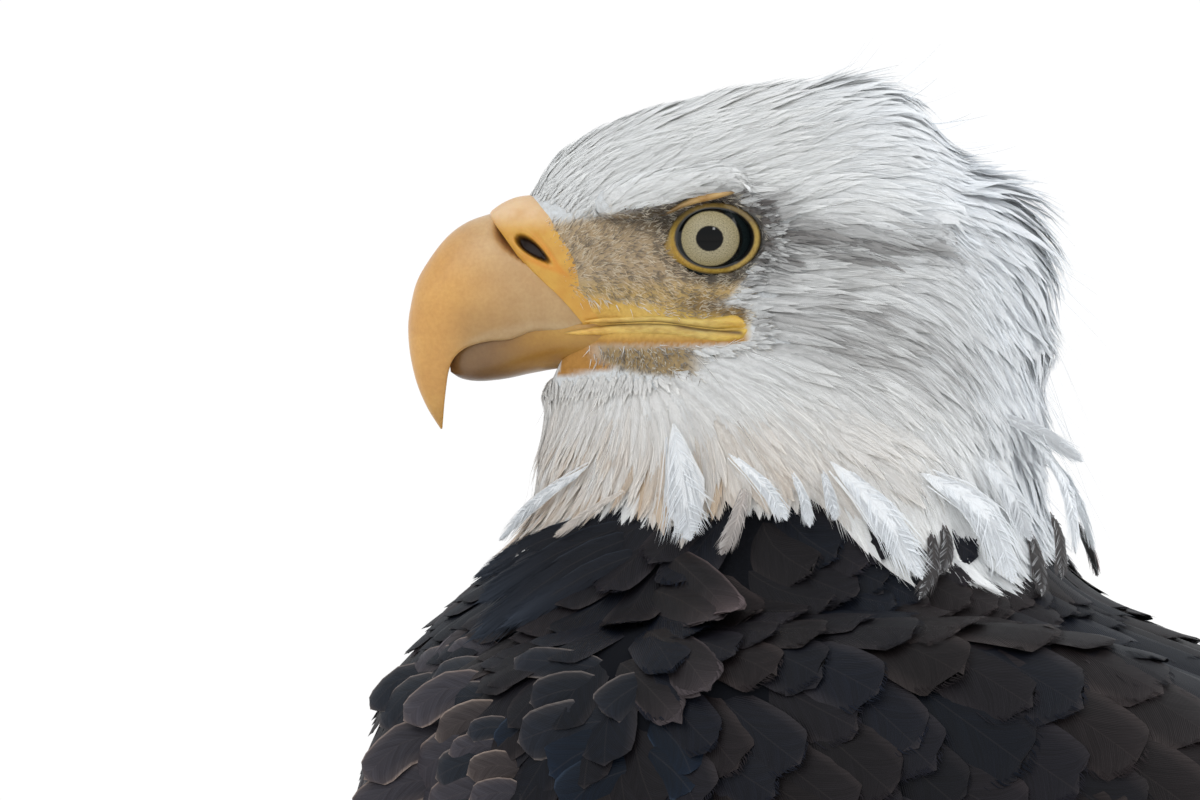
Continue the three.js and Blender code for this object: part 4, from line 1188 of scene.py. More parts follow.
def scattered(rng, co, tris, chance, count):
    """Random places on a surface, as likely as chance(points) says."""
    corner = co[tris]
    area = np.linalg.norm(np.cross(corner[:, 1] - corner[:, 0], corner[:, 2] - corner[:, 0]), axis=1) / 2
    weight = area * chance(corner.mean(1))
    pick = rng.choice(len(tris), count, p=weight / weight.sum())
    a, b = rng.random((2, count, 1))
    over = a + b > 1
    a, b = np.where(over, 1 - a, a), np.where(over, 1 - b, b)
    c = corner[pick]
    return c[:, 0] + a * (c[:, 1] - c[:, 0]) + b * (c[:, 2] - c[:, 0])


def on_skin(rng, chance, count):
    """Random places on the skin, as likely as chance(points) says."""
    return scattered(rng, SKIN["co"], SKIN["tris"], chance, count)


def spaced(rng, points, spacing):
    """Keeps places that lie at least their spacing from the ones kept before."""
    order = rng.permutation(len(points))
    points, spacing = points[order], np.broadcast_to(spacing, len(points))[order]
    kept = np.empty_like(points)
    gaps = np.empty(len(points))
    n = 0
    for p, gap in zip(points, spacing):
        near = np.sum((kept[:n] - p) ** 2, 1)
        if n and np.any(near < (0.5 * (gaps[:n] + gap)) ** 2):
            continue
        kept[n], gaps[n] = p, gap
        n += 1
    return kept[:n]


def sampled(guide, which, share):
    """Points of guide lines at shares of their length."""
    last = guide.shape[1] - 1
    t = np.clip(share, 0, 1) * last
    k = np.clip(np.floor(t).astype(int), 0, last - 1)
    f = (t - k)[..., None]
    which = which.reshape(which.shape + (1,) * (share.ndim - which.ndim))
    return guide[which, k] * (1 - f) + guide[which, k + 1] * f


# ---- meshes of many small things
def unwrap_table():
    """Places over the whole skin with their spot on its unwrap, for the OFBake map."""
    spots, places = [], []
    for table, u0, v0, u1, v1 in ((TRUNK, 0.02, 0.02, 0.64, 0.98), (HEAD, 0.68, 0.5, 0.98, 0.98)):
        t, phi = np.meshgrid(np.linspace(0, len(table) - 1, 150), np.linspace(0, 2 * math.pi, 150))
        places.append(on_ring(table, t.ravel(), phi.ravel()))
        spots.append(np.stack([
            mix(u0, u1, phi.ravel() / (2 * math.pi)), mix(v0, v1, t.ravel() / (len(table) - 1)),
        ], 1))
    return np.concatenate(places), np.concatenate(spots)


BAKE_PATCH = 0.003  # side of a tuft's patch on the unwrap
UNWRAP = {}


def bake_spots(roots):
    """Each root's spot on the unwrap of the skin."""
    if not UNWRAP:
        places, spots = unwrap_table()
        tree = KDTree(len(places))
        for i, p in enumerate(places):
            tree.insert(p, i)
        tree.balance()
        UNWRAP.update(tree=tree, spots=spots)
    return UNWRAP["spots"][[UNWRAP["tree"].find(p)[1] for p in roots]]


def joined(name, points, faces, tint, spot, maps=None, soft=None):
    """One mesh of many like things.

    points (things, corners, 3), faces (faces, 3 or 4) alike for each thing, tint (things, corners, 3),
    spot (things, corners, 2) for the OFBake map, and further maps by name; soft is the normal at each corner of
    each face, for a coat that takes the light as one soft body."""
    things, corners = points.shape[:2]
    index = (np.arange(things)[:, None, None] * corners + faces[None]).reshape(-1)
    obj = fresh(name)
    mesh = obj.data
    mesh.vertices.add(things * corners)
    mesh.vertices.foreach_set("co", points.astype(np.float32).ravel())
    mesh.loops.add(len(index))
    mesh.loops.foreach_set("vertex_index", index.astype(np.int32))
    mesh.polygons.add(things * len(faces))
    mesh.polygons.foreach_set("loop_start", np.arange(0, len(index), faces.shape[1], dtype=np.int32))
    for key, flat in {"OFBake": spot, **(maps or {})}.items():
        layer = mesh.uv_layers.new(name=key)
        layer.data.foreach_set("uv", flat.reshape(-1, 2)[index].astype(np.float32).ravel())
    mesh.update(calc_edges=True)
    mesh.validate()
    mesh.shade_smooth()
    if soft is not None and soft.size == 3 * len(mesh.loops):
        mesh.normals_split_custom_set(soft.reshape(-1, 3))
    tinted(obj, tint.reshape(-1, 3))
    return obj


def strand_faces(rings):
    """Triangles of a tapered strand: three-sided rings, a flat root and a pointed tip."""
    faces = [(0, 2, 1)]
    for k in range(rings - 1):
        for i in range(3):
            a, b = 3 * k + i, 3 * k + (i + 1) % 3
            faces += [(a, b, b + 3), (a, b + 3, a + 3)]
    base = 3 * (rings - 1)
    faces += [(base + i, base + (i + 1) % 3, 3 * rings) for i in range(3)]
    return np.array(faces)


PIECE_LIMIT = 190000  # triangles in one piece


def portions(name, things, triangles):
    """Names and shares of things for pieces that each stay under the limit."""
    parts = max(1, math.ceil(things * triangles / PIECE_LIMIT))
    for part, pick in enumerate(np.array_split(np.arange(things), parts)):
        yield (name if parts == 1 else f"{name}_{part + 1}"), pick


def strands(name, lines, ups, half, tint, spot, slot, material, soft=False):
    """Pieces of tapered strands along lines (things, points, 3); half is the half width at each point."""
    rings = lines.shape[1] - 1
    along = np.gradient(lines, axis=1)
    across = unit(np.cross(ups, along))
    up = unit(np.cross(along, across))
    half = half[:, :-1, None]
    low = lines[:, :-1] - up[:, :-1] * half * 0.08
    top = lines[:, :-1] + up[:, :-1] * half * 0.14
    ring = np.stack([low - across[:, :-1] * half, low + across[:, :-1] * half, top], 2)
    points = np.concatenate([ring.reshape(len(lines), rings * 3, 3), lines[:, -1:]], 1)
    colours = np.concatenate([np.repeat(tint[:, :-1], 3, axis=1), tint[:, -1:]], 1)
    share = np.concatenate([np.repeat(np.linspace(0, 1, rings + 1)[:-1], 3), [1.0]])
    side = np.concatenate([np.tile([0.0, 1.0, 0.5], rings), [0.5]])
    patch = np.stack([side, share], -1) * BAKE_PATCH
    spots = spot[:, None] + patch[None]
    faces = strand_faces(rings)
    under = (faces % 3 != 2).all(1) | (faces[:, 2] == 3 * rings) & (faces[:, 1] % 3 == 1)
    facing = np.where(under, -1.0, 1.0)[None, :, None, None]
    for label, pick in portions(name, len(lines), len(faces)):
        lit = unit(ups[pick])[:, faces // 3] * facing if soft else None
        obj = joined(label, points[pick], faces, colours[pick], spots[pick], soft=lit)
        if not soft:
            obj.data.shade_flat()
        finished(obj, slot, material)


def vane_faces(rows_count, columns):
    """Quads of a thin closed vane: a top and a bottom sheet that share their outer edge."""
    top = np.arange(rows_count * columns).reshape(rows_count, columns)
    bottom = top.copy()
    inner = (rows_count - 2) * (columns - 2)
    bottom[1:-1, 1:-1] = rows_count * columns + np.arange(inner).reshape(rows_count - 2, columns - 2)
    faces = []
    for sheet, flip in ((top, True), (bottom, False)):
        for r in range(rows_count - 1):
            for c in range(columns - 1):
                quad = [sheet[r, c], sheet[r, c + 1], sheet[r + 1, c + 1], sheet[r + 1, c]]
                faces.append(quad[::-1] if flip else quad)
    return np.array(faces)


def vanes(name, lines, ups, width, colour, spot, slot, material, *nodes, columns=(-1, -0.5, 0, 0.5, 1),
          thick=0.35, cup=0.2, tilt=0.0, tip=0.0, edge=None, end=None, ragged=None, shade=1.0, rim=5,
          soft=False):
    """Feathers, each one thin closed vane along its line, with its shaft in the middle.

    width (things, points) is the half width; tip pulls the corners of the end back by a share of the
    width; edge is the colour at the margin, the narrower the greater rim, and end the colour towards the tip;
    ragged (things, columns) moves the end of each column; shade darkens the rows."""
    things, count = lines.shape[:2]
    u = np.array(columns, float)
    along = np.gradient(lines, axis=1)
    across = unit(np.cross(ups, along))
    up = unit(np.cross(along, across))
    ahead = unit(along)
    share = np.linspace(0, 1, count)
    reach = width[:, :, None] * u
    height = -cup * np.abs(u) ** 2 * width[:, :, None] + np.asarray(tilt).reshape(-1, 1, 1) * reach
    height = height + 0.5 * thick * (np.abs(u) < 0.02)
    back = -tip * np.abs(u) ** 2.2 * width.max(1)[:, None, None] * (share[:, None] ** 4)
    if ragged is not None:
        back = back + ragged[:, None, :] * (share[:, None] ** 6)
    top = (lines[:, :, None] + across[:, :, None] * reach[..., None] + up[:, :, None] * height[..., None]
           + ahead[:, :, None] * back[..., None])
    bottom = top - up[:, :, None] * (thick * (1.1 - u ** 2))[:, None]
    points = np.concatenate([top.reshape(things, -1, 3), bottom[:, 1:-1, 1:-1].reshape(things, -1, 3)], 1)
    edge = colour if edge is None else edge
    end = colour if end is None else end
    body = mix(colour[:, None], end[:, None], smoothstep(share, 0.35, 0.95)[None, :, None])[:, :, None]
    margin = np.maximum(np.abs(u)[None] ** rim, (share[:, None]) ** 12)[None, ..., None]
    tint = mix(body, edge[:, None, None], margin) * np.broadcast_to(shade, (count,))[None, :, None, None]
    tint = tint * np.ones((things, count, len(u), 1))
    tint = np.concatenate([tint.reshape(things, -1, 3), tint[:, 1:-1, 1:-1].reshape(things, -1, 3)], 1)
    run = np.linalg.norm(np.diff(lines, axis=1), axis=2).sum(1)
    local = np.stack([reach, share[None, :, None] * run[:, None, None] + 0 * reach], -1)
    local = np.concatenate([local.reshape(things, -1, 2), local[:, 1:-1, 1:-1].reshape(things, -1, 2)], 1)
    flat = np.stack(np.broadcast_arrays((u + 1) / 2, share[:, None]), -1)
    flat = np.concatenate([flat.reshape(-1, 2), flat[1:-1, 1:-1].reshape(-1, 2)]) * BAKE_PATCH
    spots = spot[:, None] + flat[None]
    faces = vane_faces(count, len(u))
    row = np.concatenate([np.repeat(np.arange(count), len(u)), np.repeat(np.arange(1, count - 1), len(u) - 2)])
    facing = np.where(np.arange(len(faces)) < len(faces) // 2, 1.0, -1.0)[None, :, None, None]
    for label, pick in portions(name, things, 2 * len(faces)):
        lit = unit(ups[pick])[:, row[faces]] * facing if soft else None
        obj = joined(label, points[pick], faces, tint[pick], spots[pick], {"Vane": local[pick]}, lit)
        if not soft:
            obj.data.set_sharp_from_angle(angle=math.radians(70))
        finished(obj, slot, material, *nodes)


# Light passes through thin white feathers, so that the ones below glow; dark ones have little gloss.
SEE_THROUGH = {"Subsurface_Weight": 0.5, "Subsurface_Radius": (1.0, 1.0, 1.0), "Subsurface_Scale": 1.0 * MM}


def feather_material(name, roughness, sheen, barb_mm, barb_depth, barb_shade, shaft_shade, **more):
    """Feather vane: a stiff shaft, and barbs that leave it at a slant and give the surface fine lines."""
    material, tree, shader = new_material(name, Roughness=roughness, Sheen_Weight=sheen, Sheen_Roughness=0.4, **more)
    place = add(tree, "ShaderNodeUVMap", uv_map="Vane").outputs["UV"]
    split = add(tree, "ShaderNodeSeparateXYZ", {"Vector": place})
    off = maths(tree, "ABSOLUTE", split.outputs["X"])
    run = maths(tree, "ADD", split.outputs["Y"], maths(tree, "MULTIPLY", off, -1.3))
    lines = maths(tree, "SINE", maths(tree, "MULTIPLY", run, 2 * math.pi / barb_mm))
    streak_at = add(tree, "ShaderNodeCombineXYZ", {"X": run, "Y": off})
    streak_map = add(tree, "ShaderNodeMapping", {"Vector": streak_at.outputs["Vector"]}, Scale=(1.1, 0.12, 1))
    streak = add(tree, "ShaderNodeTexNoise", {"Vector": streak_map.outputs["Vector"]}, Scale=1.0, Detail=3.0)
    streak = streak.outputs["Fac"]
    tint = mixed(tree, "MULTIPLY", 1.0, tint_of(tree), ramp(tree, streak, [(0.3, barb_shade), (0.7, "#FFFFFF")]))
    shaft = ramp(tree, off, [(0.0, "#FFFFFF"), (0.1, "#FFFFFF"), (0.24, "#000000")])
    painted(shader, mixed(tree, "MIX", shaft, tint, mixed(tree, "MIX", shaft_shade, tint, "#6D625C")))
    bumped(tree, shader, maths(tree, "MULTIPLY", lines, streak), barb_depth, 0.8)
    return material


def strand_material(name, roughness, sheen, **more):
    """Loose barbs: matt and soft, coloured along each strand."""
    material, tree, shader = new_material(name, Roughness=roughness, Sheen_Weight=sheen, Sheen_Roughness=0.5, **more)
    painted(shader, tint_of(tree))
    return material


# ---- the white coat
def off_features(points, eye=1.18):
    """True where feathers may grow or pass: clear of the eyes, the cere and the mouth."""
    x, y, z = points[..., 0], points[..., 1], points[..., 2]
    side = np.abs(y) > 8
    clear = (lid_reach(x, z) > eye) | ~side
    clear &= x > looked_up(FEATHER_FRONT, z)
    top = np.interp(x, [-36, -28, -12, 0, 8], [-14.5, -14.5, -15.0, -17.4, -18.6])
    low = np.interp(x, [-36, -22, -12, 0, 8], [-33, -27.5, -26, -25.5, -24.5])
    return clear & ~((z < top) & (z > low) & (x < 8.5) & side)


def bare(points, eye=1.05):
    """True on bare skin, over which no white feather passes."""
    on_lores = (lores(points[..., 0], points[..., 2]) > 0.6) & (np.abs(points[..., 1]) > 9)
    return ~off_features(points, eye) | on_lores


def behind_bare(points):
    """1 just behind bare skin, where the feathers are short and dense."""
    return bare(points - lie_at(HEAD_LIE, points) * 3.0, 1.1) * 1.0


FEATHER_FRONT = np.array([  # level, and where the feathers start there
    [-60, -90], [-36, -56], [-33.4, -51], [-32.6, -38], [-31.4, -12], [-29, -20], [-26, -36], [-17, -30], [-13, -31],
    [-8, -33.5], [4, -33], [8, -38], [11, -50], [13, -70],
])
WHITE = "#F8F8F6"


def drift(points, size, seed):
    """A slow wave over the bird, -1 to 1, by which neighbouring feathers vary together."""
    rng = np.random.default_rng(seed)
    total = 0
    for _ in range(5):
        way = unit(rng.normal(size=3)) * 2 * math.pi / (size * rng.uniform(0.7, 1.5))
        total = total + np.sin(points @ way + rng.uniform(0, 2 * math.pi))
    return np.clip(total / 2.6, -1, 1)


def white_tint(rng, points):
    """Colour of each white feather, with painted light and shade: a painted cool sky light above, painted warm
    bounced light and shade below, and painted shadow over real grey bases by the eye; and how grey its place is,
    painted shadow included.
    """
    x, y, z = points.T
    n = len(points)
    base = np.tile(linear(WHITE), (n, 1))
    # painted light: cool sky light on the top and rear of the head
    base = toward(base, "#F1F6FC", 0.8 * smoothstep(x + 0.4 * z, 10, 60))
    above = smoothstep(z - white_edge(x), 8, 18)  # the lowest tips are clean white
    # painted light and shade under the head: warm bounced light on the throat and the front of the neck, beige
    # painted shade between the throat's locks, and a greyer painted shade low on the side of the throat
    base = toward(base, "#F6ECE1", 0.55 * above * smoothstep(-z, 26, 44) * smoothstep(46 - x, 0, 40))
    warm = smoothstep(-z, 34, 50) * smoothstep(24 - x, 0, 30) * above
    base = toward(base, "#D9BC9A", warm * np.clip(0.5 + 0.6 * drift(points, 8, 5), 0, 1))
    low = 0.3 * np.exp(-((x - 12) / 26) ** 2 - ((z + 42) / 8) ** 2)
    base = toward(base, "#C9BCAD", low * np.clip(0.6 + 0.4 * drift(points, 9, 6), 0, 1))
    # greys behind and under the eye and round the lids: painted shadow of the feathers, over the real grey of their
    # bases
    behind = np.exp(-((x - 24) / 13) ** 2 - ((z + 0.5 - 0.1 * (x - 20)) / 4.6) ** 2)
    cheek = np.exp(-((x - 24) / 21) ** 2 - ((z + 19) / 9) ** 2)
    lids = smoothstep(-lid_reach(x, z), -1.75, -1.2) * (np.abs(y) > 8) * smoothstep(x, -9, 1)
    grey = np.clip(1.25 * behind + 0.8 * cheek + 1.05 * lids, 0, 1)
    streak = grey * np.clip(0.55 + 0.35 * drift(points, 5, 7) + rng.normal(0, 0.3, n), 0, 1)
    base = toward(base, "#69625E", streak)
    base = base * (1 + 0.1 * smoothstep(-z, 40, 60) * smoothstep(x, -20, 10))[:, None]  # painted light: brighter low on the neck
    return base * (1 + 0.015 * rng.normal(size=(n, 1))), (0.8 * grey)[:, None]


def feather_bundles(rng, guide, normals, half, strand_half, each, points):
    """Barbs that leave each guide line like those of one soft feather, and pass its edge.

    Returns the lines, their ups, their half widths, the index of each one's feather, and its shares."""
    which = np.repeat(np.arange(len(guide)), each)
    n = len(which)
    u = rng.uniform(-1, 1, n)
    end = 1 - 0.4 * np.abs(u) ** 1.5 * rng.uniform(0.5, 1, n) - 0.1 * rng.random(n)
    start = np.clip(end - rng.uniform(0.4, 0.62, n), 0, 1)
    tau = np.linspace(0, 1, points)
    share = start[:, None] + (end - start)[:, None] * tau
    centre = sampled(guide, which, share)
    normal = unit(sampled(normals, which, share))
    across = unit(np.cross(normal, sampled(np.gradient(guide, axis=1), which, share)))
    reach = half[which][:, None] * (u * 1.15)[:, None] * (0.35 + 0.65 * tau)
    wave = rng.normal(0, 0.1, (n, 1)) * half[which][:, None] * tau ** 2
    lines = centre + across * (reach + wave)[..., None]
    lines += normal * (0.12 - 0.16 * np.abs(reach) + rng.normal(0, 0.12, (n, 1)) * tau)[..., None]
    width = strand_half * rng.uniform(0.75, 1.2, (n, 1)) * (1 - tau ** 2) ** 0.7
    return lines, normal, width, which, share


class EAGLE_OT_white_coat(bpy.types.Operator):
    """Grows the white feathers of the head and neck: a soft vane for each, with loose barbs past its edges"""

    bl_idname = "eagle.white_coat"
    bl_label = "White Coat"

    def execute(self, context):
        self.barb = strand_material("white_feather_barbs", 0.6, 0.3, **SEE_THROUGH)
        self.vane = feather_material("white_feather_vane", 0.65, 0.3, 0.5, 0.02, "#F0EFED", 0.03, **SEE_THROUGH)
        self.face_and_crown(np.random.default_rng(11), 5600)
        self.neck(np.random.default_rng(12), 1700)
        self.bristles(np.random.default_rng(13), 9400)
        self.wisps(np.random.default_rng(14))
        self.dark_hairs(np.random.default_rng(15), 110)
        return {"FINISHED"}

    def grown(self, rng, roots, length, half, each, steps, name):
        """Feathers from their roots: laid on the skin, lifted, and cut short at the dark body's edge."""
        n = len(roots)
        x, y, z = roots.T
        twist = 0.16 * drift(roots, 12, 3) + rng.normal(0, 0.07, n)
        surface, normal = marched(SKIN["tree"], roots, length, steps, HEAD_LIE, twist)
        share = np.linspace(0, 1, steps + 1)[None, :, None]
        lift = 1.2 + 0.7 * smoothstep(z, 16, 30) + 1.0 * smoothstep(x, -10, 40) + 1.6 * smoothstep(-z, 30, 55)
        lift = lift * (1 + 0.15 * drift(roots, 13, 4)) * rng.uniform(0.94, 1.06, n)
        uneven = mix(0.08, 0.36, smoothstep(x, -10, 40))
        layer = np.clip(0.9 + uneven * drift(roots, 7, 8) + uneven * rng.uniform(-1, 0.8, n), DOWN_SHARE, 1.25)
        stand = loft(surface, normal) * layer[:, None] - down(surface, normal)
        stand = np.maximum(stand, 0) * smoothstep(length, 5, 14)[:, None]
        guide = surface + normal * (lift[:, None, None] * share ** 0.7 - 0.12)
        guide = guide + normal * stand[..., None] * share ** mix(1.9, 1.1, smoothstep(-x, -14, 4))[:, None, None]
        under = smoothstep(-normal[:, 0, 2], 0.25, 0.75)
        chin = (under * smoothstep(-z, 28, 32) * smoothstep(z, -50, -44) * smoothstep(6 - x, 0, 10))[:, None, None]
        fall = unit(np.stack([0 * x + 0.06, 0.22 * np.sign(y), 0 * x - 1], -1))[:, None]
        guide = mix(guide, roots[:, None] + fall * length[:, None, None] * share, chin * share ** 0.4)
        reach = self.room(rng, guide)
        whole = np.arange(n)
        even = reach[:, None] * np.linspace(0, 1, steps + 1)
        guide, normal = sampled(guide, whole, even), unit(sampled(normal, whole, even))
        passes = reach > 0.3
        guide, normal, roots = guide[passes], normal[passes], roots[passes]
        half = half[passes] * mix(0.6, 1, reach[passes])
        base, grey = white_tint(rng, roots)
        spots = bake_spots(roots)
        kept = np.arange(len(roots))
        rows_share = np.tile(np.linspace(0, 0.93, 6), (len(roots), 1))
        shape = np.array([0.4, 0.95, 1.0, 0.8, 0.45, 0.03])
        root_shade = mix(0.93, 1.0, smoothstep(rows_share[0], 0.0, 0.6))
        # the vanes are darker where their place is grey: painted shadow over real grey bases; root_shade paints shade
        # at their roots
        vanes(f"{name}_vanes", sampled(guide, kept, rows_share), unit(sampled(normal, kept, rows_share)),
              half[:, None] * shape, mix(base, base * 0.72, grey), spots, "head_feathers", self.vane,
              columns=(-1, 0, 1), thick=0.1, cup=0.1, shade=root_shade, soft=True)
        lines, ups, width, which, along = feather_bundles(rng, guide, normal, half, 0.15, each, 3)
        each_one = (len(lines), 1, 1)
        # painted shade: barbs darker at random where their place is grey, and darker towards their roots deep in the
        # coat
        tone = rng.uniform(0.97, 1.03, each_one) * (1 - grey[which][:, None] * rng.random(each_one))
        depth = mix(0.93, 1.0, smoothstep(along, 0.05, 0.6))[..., None]
        tint = np.clip(base[which][:, None] * tone * depth, 0, 1)
        strands(f"{name}_barbs", lines, ups, width, tint, spots[which], "head_feathers", self.barb, soft=True)

    def room(self, rng, guide):
        """The share of each feather that fits above the edge of the dark body."""
        x, z = guide[..., 0], guide[..., 2]
        low = white_edge(x) + 4 * (rng.random((len(guide), 1)) ** 2)
        below = (z < low) | bare(guide)
        first = np.where(below.any(1), below.argmax(1), guide.shape[1] - 1)
        return first / (guide.shape[1] - 1)

    def face_and_crown(self, rng, count):
        def chance(p):
            x, z = p[:, 0], p[:, 2]
            bristly = np.maximum(lores(x, z), jaw_bristles(x, z)) * (np.abs(p[:, 1]) > 9)
            dense = mix(2.2, 1.0, smoothstep(x, -40, 0)) + 1.5 * smoothstep(-lid_reach(x, z), -1.9, -1.3)
            dense = dense + 0.8 * smoothstep(x, 20, 40) + 3.5 * behind_bare(p)
            return off_features(p, 1.1) * (1 - bristly) * (z > -44) * (x < 80) * dense

        roots = on_skin(rng, chance, 2 * count)
        gap = 1.6
        roots = spaced(rng, roots, gap * np.maximum(chance(roots), 1) ** -0.5)
        x, z = roots[:, 0], roots[:, 2]
        length = 11 + 10 * smoothstep(x, -45, 0) + 9 * smoothstep(x, 10, 50) + 4 * smoothstep(-z, 15, 40)
        near_eye = smoothstep(-lid_reach(x, z), -2.3, -1.15) * (np.abs(roots[:, 1]) > 8)
        length *= (1 - 0.62 * near_eye) * rng.uniform(0.85, 1.15, len(roots))
        length = mix(length, rng.uniform(3.5, 7.0, len(roots)), behind_bare(roots))
        half = (0.25 + 0.07 * length) * rng.uniform(0.8, 1.2, len(roots))
        self.grown(rng, roots, length, half, 6, 8, "coat_head")

    def neck(self, rng, count):
        def chance(p):
            x, z = p[:, 0], p[:, 2]
            return off_features(p) * (z < -30) * (z > white_edge(x) + 7) + 0.25 * (x > 52) * (z < 10) * (z > -70)

        roots = on_skin(rng, chance, 3 * count)
        roots = spaced(rng, roots, 2.35)
        x, z = roots[:, 0], roots[:, 2]
        length = (28 + 12 * smoothstep(x, -30, 50)) * rng.uniform(0.85, 1.15, len(roots))
        half = 0.09 * length * rng.uniform(0.8, 1.2, len(roots))
        self.grown(rng, roots, length, half, 18, 10, "coat_neck")

    def bristles(self, rng, count):
        """The short bristly feathers in front of and under the eye, round the lids, and under the mouth."""
        def chance(p):
            x, z = p[:, 0], p[:, 2]
            reach = lid_reach(x, z)
            ring = smoothstep(-reach, -1.5, -1.2) * 1.6
            first = 1.4 * off_features(p, 1.1) * behind_bare(p) * (z > -28)
            bristly = np.maximum(lores(x, z) + 0.8 * jaw_bristles(x, z) + ring, first)
            return bristly * (np.abs(p[:, 1]) > 8) * (reach > 1.03) + 1e-9

        roots = on_skin(rng, chance, count)
        n = len(roots)
        x, z = roots[:, 0], roots[:, 2]
        first = np.clip(1 - np.maximum(lores(x, z), jaw_bristles(x, z)), 0, 1) * (lid_reach(x, z) > 1.4)
        length = rng.uniform(1.5, 2.9, n) * (1 + 0.6 * first)
        surface, normal = marched(SKIN["tree"], roots, length, 2, HEAD_LIE, rng.normal(0, 0.35, n))
        share = np.linspace(0, 1, 3)[None, :, None]
        lines = surface + normal * (1.1 * rng.uniform(0.3, 1.2, (n, 1, 1)) * share - 0.2)
        tone = np.clip(0.5 + 0.45 * drift(roots, 2.6, 15) + rng.normal(0, 0.3, n), 0, 1)[:, None]
        colour = lores_colour(x, z)
        colour = np.where((z < -22)[:, None], linear("#9A8D7C"), colour)
        ring = smoothstep(-lid_reach(x, z), -1.45, -1.2) * smoothstep(x, -12, 0) * (z > -20)
        colour = mix(colour, linear("#4B443D"), ring[:, None] * 0.85)
        colour = np.where(tone < 0.3, mix(colour, linear("#F3E8CF"), 0.55), colour)
        colour = np.where(tone > 0.66, mix(colour, linear("#2A221B"), 0.65), colour)
        white = mix(linear("#D8CBB8"), linear(WHITE), rng.random((n, 1)) ** 0.5)
        colour = mix(colour, white, (first * (rng.random(n) < 0.92))[:, None])
        # painted shade and light: each bristle darker at its root and lighter at its tip
        tint = colour[:, None] * mix(0.85, 1.08, share)
        half = 0.17 * (1 - share[..., 0]) ** 0.5 * rng.uniform(0.7, 1.3, (n, 1))
        strands("coat_lores", lines, normal, half, tint, bake_spots(roots), "head_feathers", self.barb)

    def wisps(self, rng):
        """Long loose barbs that the wind lifts off the back of the head, curling up above and down below."""
        def chance(p):
            x, z = p[:, 0], p[:, 2]
            return (x > 26) * (z > -58) * (np.abs(p[:, 1]) < 9) + 0.0

        n = 110
        roots = on_skin(rng, chance, n)
        place, normal = nearest(SKIN["tree"], roots)
        way = laid(lie_at(HEAD_LIE, place), normal)
        high = smoothstep(roots[:, 2], -14, 16)[:, None]
        share = np.linspace(0, 1, 9)[None, :, None]
        length = rng.uniform(20, 34, (n, 1, 1)) * mix(1.0, 0.62, high[:, None])
        out = unit(way + normal * 0.6 + rng.normal(0, 0.13, (n, 3)))[:, None]
        bend = mix(np.array([0.15, 0, -0.95]), np.array([0.0, 0, 0.8]), high) * rng.uniform(0.2, 1.0, (n, 1))
        lines = place[:, None] + out * length * share + bend[:, None] * length * 0.55 * share ** 2
        dark = rng.random((n, 1, 1)) < 0.4
        tint = np.where(dark, linear("#8797A6"), linear("#DCE4EC")) * np.ones((n, 9, 1))
        half = 0.13 * (1 - share[..., 0]) ** 0.4 * np.ones((n, 1))
        ups = np.broadcast_to(normal[:, None], lines.shape)
        strands("coat_wisps", lines, ups, half, tint, bake_spots(roots), "head_feathers", self.barb)

    def dark_hairs(self, rng, count):
        """Fine dark hairs that lie loose on the white feathers."""
        def chance(p):
            x, z = p[:, 0], p[:, 2]
            return off_features(p) * (z > white_edge(x) + 12) * (1.2 * (z < -24) + 0.4) * (np.abs(p[:, 1]) > 6)

        roots = on_skin(rng, chance, count)
        length = rng.uniform(8, 24, count)
        lines, normal = marched(SKIN["tree"], roots, length, 7, HEAD_LIE, rng.normal(0, 0.16, count))
        share = np.linspace(0, 1, 8)
        rise = 3.4 + 2.2 * smoothstep(-roots[:, 2], 26, 44)
        lines = lines + normal * (rise[:, None] * (0.75 + 0.5 * share ** 2))[..., None]
        tint = np.tile(linear("#4A433F"), (count, 8, 1))
        half = 0.07 * (1 - share ** 2) * np.ones((count, 1)) + 0.01
        strands("coat_hairs", lines, normal, half, tint, bake_spots(roots), "head_feathers", self.barb)


# ---- wings
WING_BED = np.concatenate([TRUNK[:15], np.array([
    [240, -175, 34, -262, 84],
    [268, -195, 110, -285, 77],
    [298, -215, 185, -300, 69],
    [330, -238, 262, -315, 60],
    [366, -262, 325, -335, 53],
    [405, -290, 382, -352, 46],
    [442, -320, 430, -368, 37],
    [474, -350, 468, -380, 24],
], float)])
WING_FRONT, WING_REAR = 8.6, 17.6  # rings of the wing bed
WING_TOP = math.radians(24)
WING_LOW_FRONT, WING_LOW_REAR = math.radians(146), math.radians(100)
WRIST_ROUND = 0.22
PAD_DEEP = 11.0


def wing_place(u, v):
    """Ring and angle of a place on the wing: u from its front to its rear, v from its upper to its lower edge."""
    t = mix(WING_FRONT, WING_REAR, u)
    low = mix(WING_LOW_FRONT, WING_LOW_REAR, smoothstep(u, 0, 0.8))
    opened = np.sqrt(np.clip(1 - (1 - np.clip(np.asarray(u, float) / WRIST_ROUND, 0, 1)) ** 2, 0, 1))
    return t, (WING_TOP + low) / 2 + (v - 0.5) * (low - WING_TOP) * np.maximum(opened, 0.12)


def pad_depth(u, v):
    edge = np.clip(1 - np.abs(2 * v - 1) ** 3, 0, None)
    return 1.5 + PAD_DEEP * edge * smoothstep(u, -0.02, 0.15) * (1 - 0.75 * smoothstep(u, 0.3, 1))


def wing_surface(hand):
    """The wing's pad of muscle and bone, for tube(): the upper half is its outer side."""
    def surface(along, around):
        place = np.mod(around, 1)
        outer = place <= 0.5
        v = np.where(outer, place * 2, (1 - place) * 2)
        t, phi = wing_place(along, v)
        point, normal, _ = frame_at(WING_BED, t, hand * phi)
        depth = np.where(outer, pad_depth(along, v) - 1.0, -2.0)
        return point + normal * depth[..., None]
    return surface


